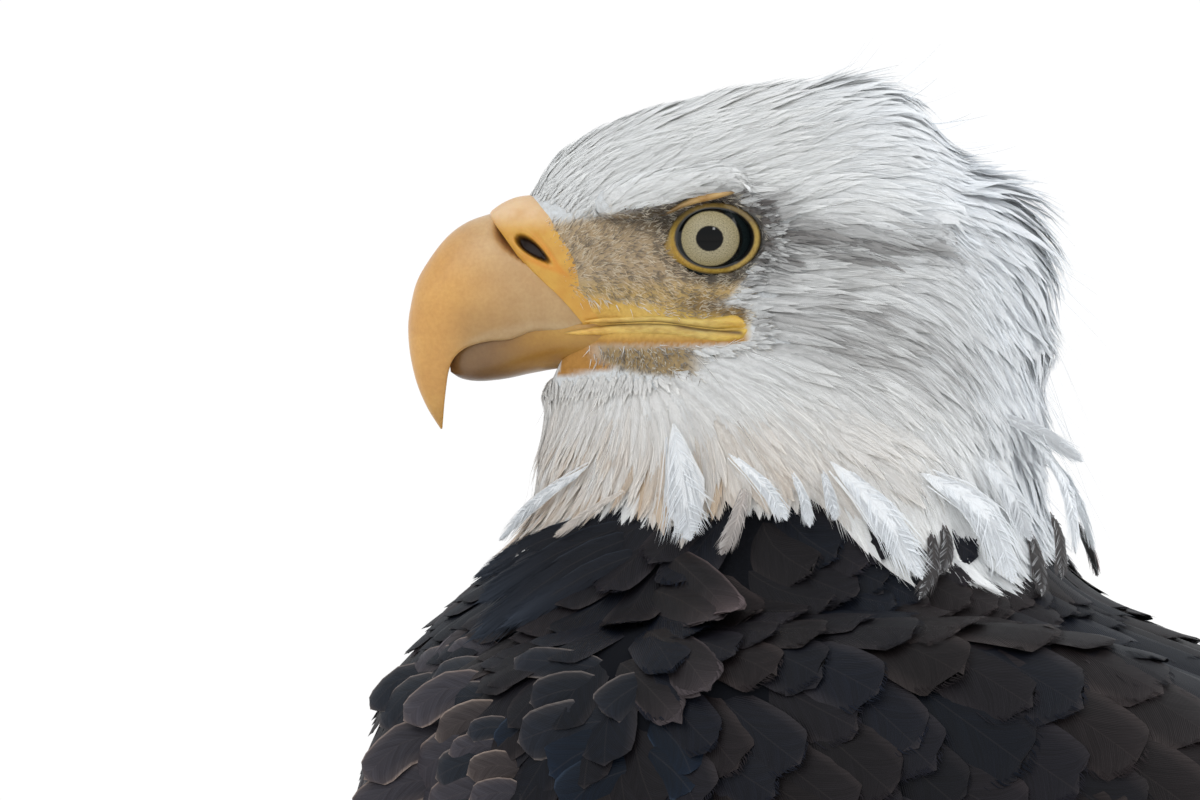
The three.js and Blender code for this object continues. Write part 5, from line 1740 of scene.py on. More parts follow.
def wing_line(hand, u, v, length, rise, share, drift=0.0, sink=2.5):
    """The line of one wing feather, with its normals."""
    def at(s, reach):
        place = u + reach * s
        t, phi = wing_place(place, v + drift * s)
        point, normal, _ = frame_at(WING_BED, t, hand * phi)
        height = pad_depth(np.minimum(place, 1), v) + mix(-sink, rise, np.maximum(s, 0))
        return point + normal * height[..., None], normal
    reach = 0.1
    steps = np.linspace(0, 1, 11)
    for _ in range(4):
        run = np.linalg.norm(np.diff(at(steps, reach)[0], axis=0), axis=1).sum()
        reach *= length / run
    return at(share, reach)


# [u of the roots, how many, v of the first and last, length of both, half width, rise, step under the next]
WING_ROWS = [
    [0.44, 9, 0.1, 0.9, 80, 62, 10.5, 4.5, 0.45],
    [0.60, 12, 0.08, 0.92, 132, 92, 9.5, 4.2, 0.5],
    [0.80, 10, 0.12, 0.84, 212, 140, 9.0, 2.2, 0.75],
]
FLIGHT_SHAPE = np.array([[0, 0.4], [0.2, 0.75], [0.55, 1], [0.85, 0.95], [0.95, 0.7], [1, 0.22]])
ROUND_SHAPE = np.array([[0, 0.4], [0.3, 0.88], [0.6, 1], [0.84, 0.92], [0.95, 0.66], [1, 0.3]])
SQUARE_SHAPE = np.array([[0, 0.4], [0.3, 0.82], [0.6, 1], [0.86, 1.0], [0.96, 0.86], [1, 0.55]])


WING_DARK = "#191719"


class EAGLE_OT_wings(bpy.types.Operator):
    """Makes the folded wings: their pads, and the tiers of flight feathers"""

    bl_idname = "eagle.wings"
    bl_label = "Wings"

    def execute(self, context):
        vane = feather_material("flight_feather_vane", 0.5, 0.0, 0.9, 0.12, "#B5ADB0", 0.2, Specular_IOR_Level=0.25)
        skin = strand_material("wing_skin_dark", 0.9, 0.0, Specular_IOR_Level=0.05)
        for side in ("left", "right"):
            hand = hand_of(side)
            pad = body(f"wing_pad_{side}", wing_surface(hand), 48, 48)
            keep_bed(pad)
            tinted(pad, np.tile(linear("#121317"), (len(pad.data.vertices), 1)))
            finished(pad, "wing_feathers", skin, f"wing_{side}")
            self.flight_feathers(np.random.default_rng(21), hand, side, vane)
        return {"FINISHED"}

    def flight_feathers(self, rng, hand, side, material):
        share = np.linspace(0, 1, 13)
        lines, ups, width, colour = [], [], [], []
        for u, count, first, last, long_first, long_last, half, rise, step in WING_ROWS:
            for i in range(count):
                place = i / (count - 1)
                v = mix(first, last, place) + rng.uniform(-0.006, 0.006)
                length = mix(long_first, long_last, place) * rng.uniform(0.97, 1.03)
                over = ((count - 1) / 2 - i) * step
                line, normal = wing_line(hand, u + rng.uniform(-0.006, 0.006), v, length, rise + over, share)
                lines.append(line)
                ups.append(normal)
                width.append(half * rng.uniform(0.96, 1.04) * looked_up(FLIGHT_SHAPE, share))
                colour.append(linear(WING_DARK) * rng.uniform(0.8, 1.35))
        colour = np.array(colour)
        spots = bake_spots(np.array([line[0] for line in lines]))
        vanes(f"wing_flight_{side}", np.array(lines), np.array(ups), np.array(width), colour, spots,
              "wing_feathers", material, columns=(-1, -0.55, -0.05, 0, 0.05, 0.55, 1), thick=0.7, cup=0.1,
              tip=0.35, edge=colour * 1.5 + linear("#2B201B"))


# ---- tail
TAIL_LENGTH = 288.0
TAIL_SLOPE = math.radians(28)
TAIL_ROOT = np.array([262.0, 0, -264])
TAIL_AXIS = np.array([math.cos(TAIL_SLOPE), 0, -math.sin(TAIL_SLOPE)])
TAIL_UP = np.array([math.sin(TAIL_SLOPE), 0, math.cos(TAIL_SLOPE)])
TAIL_FAN = math.radians(7.5)
TAIL_STEP = 1.15
RECTRICES = 12
RECTRIX_HALF = 18.0


def tail_place(along, across, up):
    along, across, up = np.broadcast_arrays(along, across, up)
    return TAIL_ROOT + along[..., None] * TAIL_AXIS + across[..., None] * [0.0, 1, 0] + up[..., None] * TAIL_UP


class EAGLE_OT_tail(bpy.types.Operator):
    """Makes the white tail, twelve feathers that lie under one another from the middle outwards"""

    bl_idname = "eagle.tail"
    bl_label = "Tail"

    def execute(self, context):
        vane = feather_material("white_tail_vane", 0.5, 0.15, 0.9, 0.1, "#E3DDD6", 0.2)
        rng = np.random.default_rng(31)
        share = np.linspace(0, 1, 15)
        lines, width = [], []
        for i in range(RECTRICES):
            hand = 1 if i % 2 == 0 else -1
            order = (i // 2) / (RECTRICES / 2 - 1)
            lean = TAIL_FAN * (0.1 + 0.9 * order) * -hand
            length = TAIL_LENGTH * (1 - 0.07 * order ** 2) - 4 * rng.random()
            under = -TAIL_STEP * i * smoothstep(share, 0, 0.35) * (0.4 + 0.6 * share)
            lines.append(tail_place(
                length * share * math.cos(lean),
                -hand * 3 * (1 + order * 2) + length * share * math.sin(lean),
                4.4 + under - 10 * share ** 2,
            ))
            width.append(RECTRIX_HALF * (1 - 0.12 * order) * looked_up(FLIGHT_SHAPE, share))
        lines = np.array(lines)
        ups = np.broadcast_to(TAIL_UP, lines.shape)
        colour = np.tile(linear("#EFEDE9"), (RECTRICES, 1)) * rng.uniform(0.94, 1.02, (RECTRICES, 1))
        vanes("tail_feathers", lines, ups, np.array(width), colour, bake_spots(lines[:, 0]), "tail_feathers", vane,
              "tail", columns=(-1, -0.55, -0.05, 0, 0.05, 0.55, 1), thick=0.8, cup=0.08, tip=0.35,
              edge=colour * linear("#E8DFD2"))

        def root(along, around):
            stops = np.array([[10, 16, 10], [50, 24, 10], [90, 29, 7.5], [124, 28, 3.5]], float)
            s, half, thick = np.moveaxis(rows(stops, along * 3), -1, 0)
            a = around * 2 * math.pi
            return tail_place(s, (half - 1) * np.cos(a), 1 + (thick - 0.6) * np.sin(a))

        base = body("tail_root", root, 32, 24)
        keep_bed(base)
        tinted(base, np.tile(linear("#D8D3CC"), (len(base.data.vertices), 1)))
        finished(base, "tail_feathers", strand_material("tail_skin", 0.8, 0.0))
        return {"FINISHED"}


# ---- small feathers of the body
BED = {"co": [], "tris": []}


def keep_bed(obj):
    """Adds a piece in bird millimetres to the bed that body feathers lie on."""
    co, tris, _ = triangles(obj.data)
    BED["tris"].append(tris + sum(len(c) for c in BED["co"]))
    BED["co"].append(co)


def whole_bed():
    """The skin, the wing pads and the tail's root as one smooth bed for the body's feathers."""
    co = np.concatenate([SKIN["co"], *BED["co"]])
    offset = len(SKIN["co"])
    tris = np.concatenate([SKIN["tris"], *[t + offset for t in BED["tris"]]])
    bed = fresh("bed")
    bed.data.from_pydata(co.tolist(), [], tris.tolist())
    remeshed(bed, 3.2, 22)
    found = triangles(bed.data)
    bpy.data.objects.remove(bed)
    return found


def wrist_at(points):
    """1 on the wrist and the front of the wing, whose feathers are small and lie to the front."""
    x, y, z = points.T
    return smoothstep(-z, 99, 108) * smoothstep(-x, 24, 40) * smoothstep(z, -175, -145) * (np.abs(y) > 30)


def size_at(points):
    """How broad the body feathers are: small on the wrist and neck, large on the back."""
    x, z = points[:, 0], points[:, 2]
    out = 8.5 + 7.5 * smoothstep(x, -30, 90)
    out = mix(out, 7.2, wrist_at(points))
    out = mix(out, 9.5, smoothstep(z, -90, -76))
    return mix(out, 8.0, smoothstep(-z, 285, 310))


# DARK_BLUE and WRIST_BLUE are the dark feathers with a painted blue reflection of the sky; the browns are their own
# colour.
DARK_BLUE, DARK_BROWN, PALE_EDGE = "#090F1A", "#181314", "#625853"
WRIST_BLUE, WRIST_BROWN, WRIST_EDGE = "#1D2129", "#312F34", "#8F7F76"


def fringe(rng, name, lines, normal, width, colour, spots, each, material):
    """Loose barbs that fray the ends of dark feathers."""
    which = np.repeat(np.arange(len(lines)), each)
    n = len(which)
    u = rng.uniform(-1, 1, n)
    start = 1 - 0.05 * rng.random(n) - 0.32 * np.abs(u) ** 2.5
    share = np.clip(start[:, None] + np.array([-0.1, -0.02, 0.06]) * rng.uniform(0.7, 1.3, (n, 1)), 0, 1)
    centre, ups = sampled(lines, which, share), unit(sampled(normal, which, share))
    run = sampled(np.gradient(lines, axis=1), which, share)
    across = unit(np.cross(ups, run))
    half = sampled(width[..., None], which, share)[..., 0]
    reach = half * u[:, None] * np.array([0.92, 1.0, 1.04])
    ahead = np.maximum(start[:, None] + np.array([0, 0.02, 0.07]) - 1, 0) * 26
    out = centre + across * reach[..., None] + unit(run) * ahead[..., None]
    out = out + ups * (0.1 - 0.16 * u[:, None] ** 2 * half)[..., None]
    tint = colour[which][:, None] * rng.uniform(0.7, 1.3, (n, 1, 1)) * np.ones((n, 3, 1))
    thin = 0.12 * np.array([1, 0.8, 0.0]) * rng.uniform(0.7, 1.3, (n, 1))
    strands(name, out, ups, thin, tint, spots[which], "body_feathers", material)


class EAGLE_OT_body_feathers(bpy.types.Operator):
    """Lays the small dark feathers of the body, the legs and the front of the wings"""

    bl_idname = "eagle.body_feathers"
    bl_label = "Body Feathers"

    def execute(self, context):
        self.vane = feather_material(
            "dark_feather_vane", 0.55, 0.0, 0.8, 0.05, "#B9B2B2", 0.04, Specular_IOR_Level=0.14)
        self.barbs = strand_material("dark_feather_barbs", 0.6, 0.0, Specular_IOR_Level=0.1)
        co, tris, BED["tree"] = whole_bed()
        rng = np.random.default_rng(41)
        roots = scattered(rng, co, tris, self.chance, 34000)
        roots = spaced(rng, roots, 0.68 * size_at(roots))
        self.lay(rng, roots)
        return {"FINISHED"}

    def chance(self, p):
        x, z = p[:, 0], p[:, 2]
        tail = (p - TAIL_ROOT) @ TAIL_AXIS
        dark = smoothstep(np.minimum(white_edge(x) + 16, -54) - z, 0, 4)
        hollow = np.exp(-((x + 31) / 8) ** 2 - ((z + 95) / 4) ** 2)  # the dark hollow under the shoulder's plumes
        return dark * (tail < 100) * (z > -372) * (1 - hollow) / size_at(p) ** 2

    def lay(self, rng, roots):
        n = len(roots)
        x, y, z = roots.T
        size, wrist = size_at(roots), wrist_at(roots)
        back = smoothstep(x, -25, 10) * (1 - wrist)
        length = size * mix(2.8, 2.5, wrist) * rng.uniform(0.92, 1.12, n)
        half = size * mix(0.74, 0.7, wrist) * rng.uniform(0.88, 1.12, n)
        turn = rng.normal(0, 0.08, n) + 0.12 * drift(roots, 40, 42)
        surface, normal = marched(BED["tree"], roots, length, 7, BODY_LIE, turn)
        share = np.array([0, 0.2, 0.42, 0.62, 0.78, 0.89, 0.96, 1])
        each, spread = np.arange(n), np.tile(share, (n, 1))
        surface, normal = sampled(surface, each, spread), unit(sampled(normal, each, spread))
        # low under the wrist's scallops
        low = smoothstep(-x, 40, 48) * smoothstep(-z, 94, 100) * smoothstep(z, -142, -136)
        rise = mix(mix(4.0, 2.8, wrist), 1.2, low) * rng.uniform(0.85, 1.15, n)
        lines = surface + normal * (rise[:, None] * share ** 0.9 - 0.6)[..., None]
        # feathers that are browner, among those with the painted blue sky reflection
        brown = np.clip(0.5 + 0.9 * drift(roots, 34, 43) + rng.normal(0, 0.35, n), 0, 1)[:, None]
        tone = rng.uniform(0.75, 1.25, (n, 1))
        colour = mix(mix(linear(DARK_BLUE), linear(DARK_BROWN), brown),
                     mix(linear(WRIST_BLUE), linear(WRIST_BROWN), brown), wrist[:, None]) * tone
        end = colour * mix(1.0, 1.9, (brown[:, 0] * rng.uniform(0.3, 1, n))[:, None])
        edge = mix(linear(PALE_EDGE), linear(WRIST_EDGE), wrist[:, None])
        edge = mix(end * 1.25, edge, mix(0.22, 0.7, wrist)[:, None] * rng.uniform(0.3, 1.0, (n, 1)))
        tail = roots - TAIL_ROOT
        white = (tail @ TAIL_AXIS > 6) & (np.abs(y) < 44) & (np.abs(tail @ TAIL_UP) < 26)
        pale = linear("#E9E6E1") * rng.uniform(0.92, 1.02, (n, 1))
        colour, end, edge = (np.where(white[:, None], pale, c) for c in (colour, end, edge))
        spots = bake_spots(roots)
        shape = mix(looked_up(ROUND_SHAPE, share), looked_up(SQUARE_SHAPE, share), back[:, None])
        hand = np.where(y < 0, 1.0, -1.0)
        columns = np.array((-1, -0.65, 0, 0.65, 1))
        ragged = rng.normal(0, 1, (n, len(columns))) * (0.1 * half * back)[:, None]
        order = np.argsort(x)
        lines, normal, half, shape, colour, end, edge, spots, ragged = (
            v[order] for v in (lines, normal, half, shape, colour, end, edge, spots, ragged))
        tilt = (hand * mix(0.05, -0.14, wrist))[order]
        width = half[:, None] * shape
        vanes("body_feathers", lines, normal, width, colour, spots, "body_feathers", self.vane, columns=columns,
              thick=0.4, cup=0.16, tilt=tilt, tip=0.45, edge=edge, end=end, ragged=ragged)
        pick = back[order] > 0.5
        x, _, z = roots[order][pick].T
        each = np.where((x < 90) & (z > -170), 40, 12)  # the shoulder's ends are the most frayed
        fringe(rng, "body_fringe", lines[pick], normal[pick], width[pick], end[pick], spots[pick], each, self.barbs)


# ---- feathers laid one by one
# Those of the wrist, the shoulder and the edge of the white neck, on both sides: x and z of the root, the middle and
# the tip in the side view, half width, height over the bed, and kind.
PLUMES = [
    [-51, -99, -56.4, -98, -62.1, -99.6, 3.4, 3.6, "brown"],
    [-56.4, -101.7, -63.1, -100.4, -69.4, -102.4, 3.7, 3.8, "brown"],
    [-51, -103.1, -59.1, -103.1, -65.1, -105.7, 3.7, 4, "blue"],
    [-65.7, -104.6, -73.8, -105.9, -79.6, -113, 4.5, 3.8, "blue"],
    [-63.1, -106.6, -71.1, -108.6, -77.2, -117, 4.5, 4.2, "blue"],
    [-51, -107.7, -62.4, -108.3, -71.4, -115.7, 5.6, 4.6, "brown"],
    [-51, -110, -59.1, -110, -65.9, -115.3, 4.5, 5, "blue"],
    [-47.7, -114.9, -56.4, -114.9, -63.6, -119.6, 5.1, 5.4, "tan"],
    [-47, -116.8, -51.7, -116.8, -56.4, -118.5, 3, 5.8, "blue"],
    [-62.4, -117.8, -72.4, -120.5, -80.2, -128.8, 5.9, 5, "brown"],
    [-48.4, -121.4, -60.4, -122.1, -68.3, -128.8, 6.6, 5.4, "brown"],
    [-47.7, -122, -54.4, -121, -60.4, -123, 3.4, 6, "brown"],
    [-47.7, -125.5, -56.4, -124.8, -63.1, -128.5, 5, 6.4, "blue"],
    [-45, -126.5, -50.4, -125.5, -55.9, -127.8, 3.8, 6.8, "tan"],
    [-47, -132.2, -56.4, -131.5, -65.1, -135.2, 5, 6.4, "brown"],
    [-44.4, -132.5, -49.7, -131.8, -55.4, -133.5, 3.7, 7, "brown"],
    [-63.7, -128.3, -73.8, -130.3, -82.5, -137, 5.3, 5.6, "brown"],
    [-56.4, -132.2, -64.4, -132.9, -71.4, -136.9, 5, 6, "brown"],
    [-68.3, -114.7, -75.6, -121.4, -81, -130.7, 2.6, 3.4, "blue"],
    [-49.7, -136, -56.4, -136, -62.4, -139.3, 4.5, 6.6, "blue"],
    [-26.3, -102.6, -37, -101.9, -46.2, -101.9, 4.3, 4.2, "slate"],
    [-26.3, -107.6, -35, -108.2, -42.7, -111.3, 5.3, 4, "slate"],
    [-17, -114.7, -33.7, -116, -45.4, -120.3, 6.4, 4.4, "slate"],
    [-15, -104.9, -21.7, -109.6, -25.7, -113.6, 5.3, 4.8, "slate"],
    [-39, -113.1, -45.7, -117.1, -49.7, -122.5, 4.8, 3.2, "deep"],
    [-16.3, -118.5, -29.7, -121.8, -38.4, -127.8, 8, 3, "deep"],
    [-18.3, -125.8, -28.3, -129.8, -35, -136.5, 7.2, 3.4, "deep"],
    [-15, -113.8, -8.3, -120.5, -4.9, -127.5, 5.3, 3.6, "deep"],
    [-16.3, -121.1, -9.6, -126.5, -4.9, -131.8, 5.3, 4, "deep"],
    [-48, -77, -58.7, -87.1, -68.8, -97.8, 4.1, 2.6, "soft"],
    [-53.4, -83.7, -61.4, -90.4, -70.8, -101.1, 3.5, 3, "soft"],
    [-50.7, -86.4, -57.4, -93.8, -65.4, -100.4, 3.1, 3.2, "soft"],
    [-23, -67.7, -39, -73, -54.4, -83.1, 4.1, 5.4, "plume"],
    [-20.3, -68.4, -36.4, -77, -53.7, -89.7, 4.4, 7, "plume"],
    [-18.3, -71, -33.7, -80.4, -55.1, -99.1, 4.7, 8.4, "plume"],
    [-17, -75, -29.7, -81.7, -48.4, -95.1, 3.7, 6.4, "plume"],
    [-27, -91.1, -19, -97.8, -11.6, -104.8, 5.2, 5, "umber"],
    [-15, -83.7, -7, -88.4, -0.6, -94.6, 5.9, 6.6, "umber"],
    [-11, -75, -2.3, -84.4, 4.3, -93.4, 5.3, 7.8, "russet"],
    [-17, -93.1, -7.6, -100.4, -0.9, -108.1, 6.4, 5.8, "umber"],
    [-23, -100.4, -15, -107.8, -8.3, -114.8, 4.8, 4.6, "umber"],
    [-8.9, -44.7, -6.5, -60.2, -5.2, -74, 6, 6, "white"],
    [-20, -61.1, -27.3, -67, -35.6, -73.7, 1.4, 6.6, "beige"],
    [-28.2, -54.7, -38.2, -63.8, -47.3, -75, 2.4, 6, "white"],
    [7.4, -60.2, 5.5, -68.4, 1.7, -77.1, 2.4, 4.6, "grey"],
    [3.7, -52, 11.9, -60.2, 17, -68.9, 2, 6, "white"],
    [18.3, -56.6, 21, -62.9, 22.3, -70.2, 1.3, 5, "white"],
    [25.6, -55.6, 26.9, -62, 28.3, -68.4, 1.5, 5, "white"],
    [27.4, -53.8, 39.2, -67.5, 48, -83.9, 4.4, 6, "white"],
    [50.4, -70.2, 50.7, -79.3, 47.8, -88.6, 2.1, 5, "lance"],
    [53.1, -68.4, 54, -75.2, 52, -82.1, 2.1, 4.6, "lance"],
    [48, -56.6, 61.7, -67.5, 68.2, -85.7, 5.1, 7, "white"],
    [61.7, -52.9, 67.1, -63.8, 70.8, -74.8, 3.6, 7.6, "white"],
    [78.6, -65.7, 80.3, -73.9, 80.8, -83.4, 1.8, 4, "lance"],
    [70.8, -43.8, 80.8, -58.4, 83.7, -77.1, 2, 4, "white"],
    [71.7, -68.4, 74.4, -77.5, 76.2, -88, 2.2, 4.8, "lance"],
    [63.5, -41.1, 75.3, -45.6, 85.8, -52.9, 2, 3, "white"],
]
# Each kind's colour, its tip's and its margin's, its outline, and how much of its width is closed vane.
SCALLOP = np.array([[0, 0.5], [0.3, 0.92], [0.6, 1], [0.8, 0.97], [0.9, 0.82], [0.96, 0.58], [1, 0.2]])
POINTED = np.array([[0, 0.45], [0.3, 0.95], [0.5, 1], [0.7, 0.84], [0.85, 0.52], [0.95, 0.2], [1, 0.03]])
TAPERED = np.array([[0, 0.05], [0.2, 0.45], [0.5, 1], [0.66, 0.86], [0.82, 0.5], [0.93, 0.2], [1, 0.03]])
SQUARE = np.array([[0, 0.45], [0.3, 0.85], [0.6, 1], [0.82, 0.98], [0.92, 0.85], [0.97, 0.62], [1, 0.35]])
# The blue, slate, deep and plume kinds carry a painted blue reflection of the sky in their colours.
PLUME_KINDS = {
    "brown": ("#36343A", "#434047", "#94847B", SCALLOP, 1.0),
    "tan": ("#3A3434", "#4A4241", "#A59488", SCALLOP, 1.0),
    "blue": ("#1C2129", "#252A34", "#857A74", SCALLOP, 1.0),
    "slate": ("#161A22", "#1D212B", "#716965", SCALLOP, 1.0),
    "deep": ("#06111E", "#0A1829", "#2C3A4B", SCALLOP, 1.0),
    "umber": ("#181517", "#3C3537", "#453E3F", SQUARE, 1.0),
    "russet": ("#181517", "#54494A", "#5A4F4E", SQUARE, 1.0),
    "soft": ("#3A3637", "#565155", "#565155", POINTED, 1.0),
    "plume": ("#11141C", "#2A303A", "#2A303A", POINTED, 1.0),
    "white": ("#E9ECEF", "#EFF2F5", "#EFF2F5", TAPERED, 0.8),
    "beige": ("#E0D6CC", "#D0C2B5", "#DED4CA", TAPERED, 0.7),
    "grey": ("#B9B0AA", "#857B75", "#D5CFCA", POINTED, 0.5),
    "lance": ("#2A2423", "#1F1A1A", "#DADBDD", TAPERED, 0.9),
}
LAID_GROUPS = {  # kinds, loose barbs of each feather
    "scallops": (("brown", "tan", "blue", "slate", "deep"), 0),
    "scapulars": (("umber", "russet"), 0),
    "shoulder_feathers": (("soft",), 0),
    "shoulder_plumes": (("plume",), 0),
    "edge_plumes": (("white", "beige", "grey", "lance"), 70),
}


def sight(x, z):
    """The line of sight through a place of the side view, against the neck's turn: its start and its way."""
    start, right, _ = viewpoint(bpy.context.scene.eagle)
    place = turn_head(LEFT_EYE) + right * x + np.array([0.0, 0.0, z])
    a = -HEAD_TURN * float(smoothstep(z, TURN_FROM_Z, TURN_TO_Z))
    turn = np.array([[math.cos(a), math.sin(a), 0], [-math.sin(a), math.cos(a), 0], [0, 0, 1]])
    axis = np.array([NECK_AXIS_X, 0, 0])
    start, place = (start - axis) @ turn + axis, (place - axis) @ turn + axis
    return start, unit(place - start)


def plume_line(stops, height, share, over_coat):
    """A feather's line through places of the side view, laid over the bed on the left side, and its ups.

    Over the white coat its root starts high, where the coat's own feathers are."""
    line, ups, depth = [], [], None
    for x, z in rows(np.array(stops, float).reshape(3, 2), share * 2):
        start, way = sight(x, z)
        place, normal = BED["tree"].ray_cast(Vector(start), Vector(way))[:2]
        if place is None or (depth is not None and abs(place.y - depth) > 8):
            place = start + way * ((-30.0 if depth is None else depth) - start[1]) / way[1]
            normal = BED["tree"].find_nearest(Vector(place))[1]
        depth = place[1]
        line.append(list(place))
        ups.append(list(unit(np.array(normal)) - 0.7 * way))  # half towards the side that it is seen from
    line, ups = np.array(line), np.array(ups)
    for _ in range(3):
        for track in (line[:, 1], ups):
            track[1:-1] = (track[:-2] + 2 * track[1:-1] + track[2:]) / 4
    ups = unit(ups)
    rise = 0.62 + 0.42 * smoothstep(share, 0, 0.45) if over_coat else share ** 0.5 - 0.1
    return line + ups * (height * rise)[:, None], ups


class EAGLE_OT_plumes(bpy.types.Operator):
    """Lays the scallops of the wrists, the plumes of the shoulders and the tips along the white neck's edge"""

    bl_idname = "eagle.plumes"
    bl_label = "Plumes"

    def execute(self, context):
        dark = feather_material("dark_plume_vane", 0.55, 0.0, 0.6, 0.04, "#C9C3C3", 0.05, Specular_IOR_Level=0.15)
        dark_barb = strand_material("dark_plume_barbs", 0.6, 0.0, Specular_IOR_Level=0.15)
        white = feather_material("white_plume_vane", 0.65, 0.3, 0.5, 0.02, "#F0EFED", 0.1, **SEE_THROUGH)
        white_barb = strand_material("white_plume_barbs", 0.6, 0.3, **SEE_THROUGH)
        for seed, (name, (kinds, each)) in enumerate(LAID_GROUPS.items()):
            pale = name == "edge_plumes"
            self.lay(np.random.default_rng(50 + seed), name, kinds, 12 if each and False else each,
                     "head_feathers" if pale else "body_feathers", white if pale else dark,
                     white_barb if pale else dark_barb)
        return {"FINISHED"}

    def lay(self, rng, name, kinds, each, slot, vane, barb):
        share = np.array([0, 0.15, 0.32, 0.5, 0.66, 0.8, 0.9, 0.96, 1])
        lines, ups, half, shape, closed, tints = [], [], [], [], [], []
        for row in PLUMES:
            if row[8] not in kinds:
                continue
            line, up = plume_line(row[:6], row[7], share, name == "edge_plumes")
            first, last, margin, outline, solid = PLUME_KINDS[row[8]]
            for hand in (1, -1):
                lines.append(line * [1, hand, 1])
                ups.append(up * [1, hand, 1])
                half.append(row[6])
                shape.append(looked_up(outline, share))
                closed.append(solid)
                tone = rng.uniform(0.9, 1.1)
                tints.append([linear(first) * tone, linear(last) * tone, linear(margin)])
        lines, ups, half, shape, closed, tints = (np.array(v) for v in (lines, ups, half, shape, closed, tints))
        colour, end, edge = np.moveaxis(tints, 1, 0)
        columns = np.array((-1, -0.87, -0.5, 0, 0.5, 0.87, 1))
        ragged = rng.normal(0, 1, (len(lines), 7)) * (half * (0.22 if name == "scapulars" else 0.02))[:, None]
        spots = bake_spots(lines[:, 0])
        vanes(name, lines, ups, half[:, None] * shape * closed[:, None], colour, spots, slot, vane, thick=0.3,
              cup=0.22, tip=0.35, end=end, edge=edge, ragged=ragged, columns=columns, rim=16,
              soft=name.endswith("plumes"))
        if each:
            self.comb(rng, name, lines, ups, half, shape, tints, spots, each, slot, barb)
        if name.endswith("plumes"):
            count = 50 if name == "edge_plumes" else 150
            loose, over, thin, which, along = feather_bundles(rng, lines, ups, half, 0.15, count, 4)
            tint = mix(colour[which][:, None], end[which][:, None], smoothstep(along, 0.35, 0.95)[..., None])
            tint = tint * rng.uniform(0.93, 1.07, (len(loose), 1, 1))
            strands(f"{name}_locks", loose, over, thin, np.clip(tint, 0, 1), spots[which], slot, barb, soft=True)
        if name != "edge_plumes" and name != "scallops":
            fringe(rng, f"{name}_fringe", lines, ups, half[:, None] * shape, end, spots, 130, barb)

    def comb(self, rng, name, lines, ups, half, shape, tints, spots, each, slot, material):
        """Barbs that leave the shaft at a slant, like the teeth of a comb, and make the frayed edge."""
        which = np.repeat(np.arange(len(lines)), each)
        n = len(which)
        side = rng.choice([-1.0, 1.0], n)[:, None]
        root = rng.uniform(0.0, 1, n)[:, None] ** 0.8
        run = np.linalg.norm(np.diff(lines, axis=1), axis=2).sum(1)[which][:, None]
        tau = np.linspace(0, 1, 4)
        wide = half[which][:, None] * sampled(shape[..., None], which, root)[..., 0]
        share = root + 1.1 * wide / run * tau
        normal = unit(sampled(ups, which, share))
        along = unit(sampled(np.gradient(lines, axis=1), which, share))
        centre = sampled(lines, which, share) + along * (np.maximum(share - 1, 0) * run)[..., None]
        reach = wide * (0.1 + 0.94 * tau ** 0.8) * rng.uniform(0.85, 1.12, (n, 1))
        out = centre + np.cross(normal, along) * (side * reach)[..., None]
        arch = 0.2 * reach ** 2 / np.maximum(half[which][:, None], 1)
        out = out + normal * (0.3 - arch + rng.normal(0, 0.12, (n, 1)))[..., None]
        first, last, margin = (tints[which, k][:, None] for k in range(3))
        tint = mix(first, last, smoothstep(share, 0.35, 0.95)[..., None])
        tint = mix(tint, margin, (np.where(side < 0, 0.8, 0.25) * tau)[..., None]) * rng.uniform(0.9, 1.1, (n, 1, 1))
        thin = 0.12 * rng.uniform(0.7, 1.3, (n, 1)) * np.array([1, 0.95, 0.8, 0])
        strands(f"{name}_barbs", out, normal, thin, np.clip(tint, 0, 1), spots[which], slot, material)


# ---- feet
FOOT_X, FOOT_SIDE = 104.0, 50.0
# Heading in degrees, length of the toe and length of its claw round the curve.
TOES = {"hallux": (172, 36, 37), "inner": (-42, 46, 36), "middle": (4, 70, 32), "outer": (46, 52, 28)}
TOE_RADII = (10.1, 8.6, 8.4, 6.6)


def scuted(points, radii, scutes, front, flat=1.0):
    """A scaly limb: rings of horny plates on its front, and fine grain between them."""
    plain = limb_surface(points, radii, flat)

    def surface(along, around):
        point = plain(along, around)
        centre, _ = curve_through(points, along)
        away = point - centre
        facing = smoothstep(np.cos(around * 2 * math.pi - front), 0.15, 0.75)
        saw = np.mod(along * scutes, 1)
        step = (saw ** 1.6) * (1 - smoothstep(saw, 0.9, 1.0)) * 0.075
        return centre + away * (1 + step * facing)[..., None]
    return surface


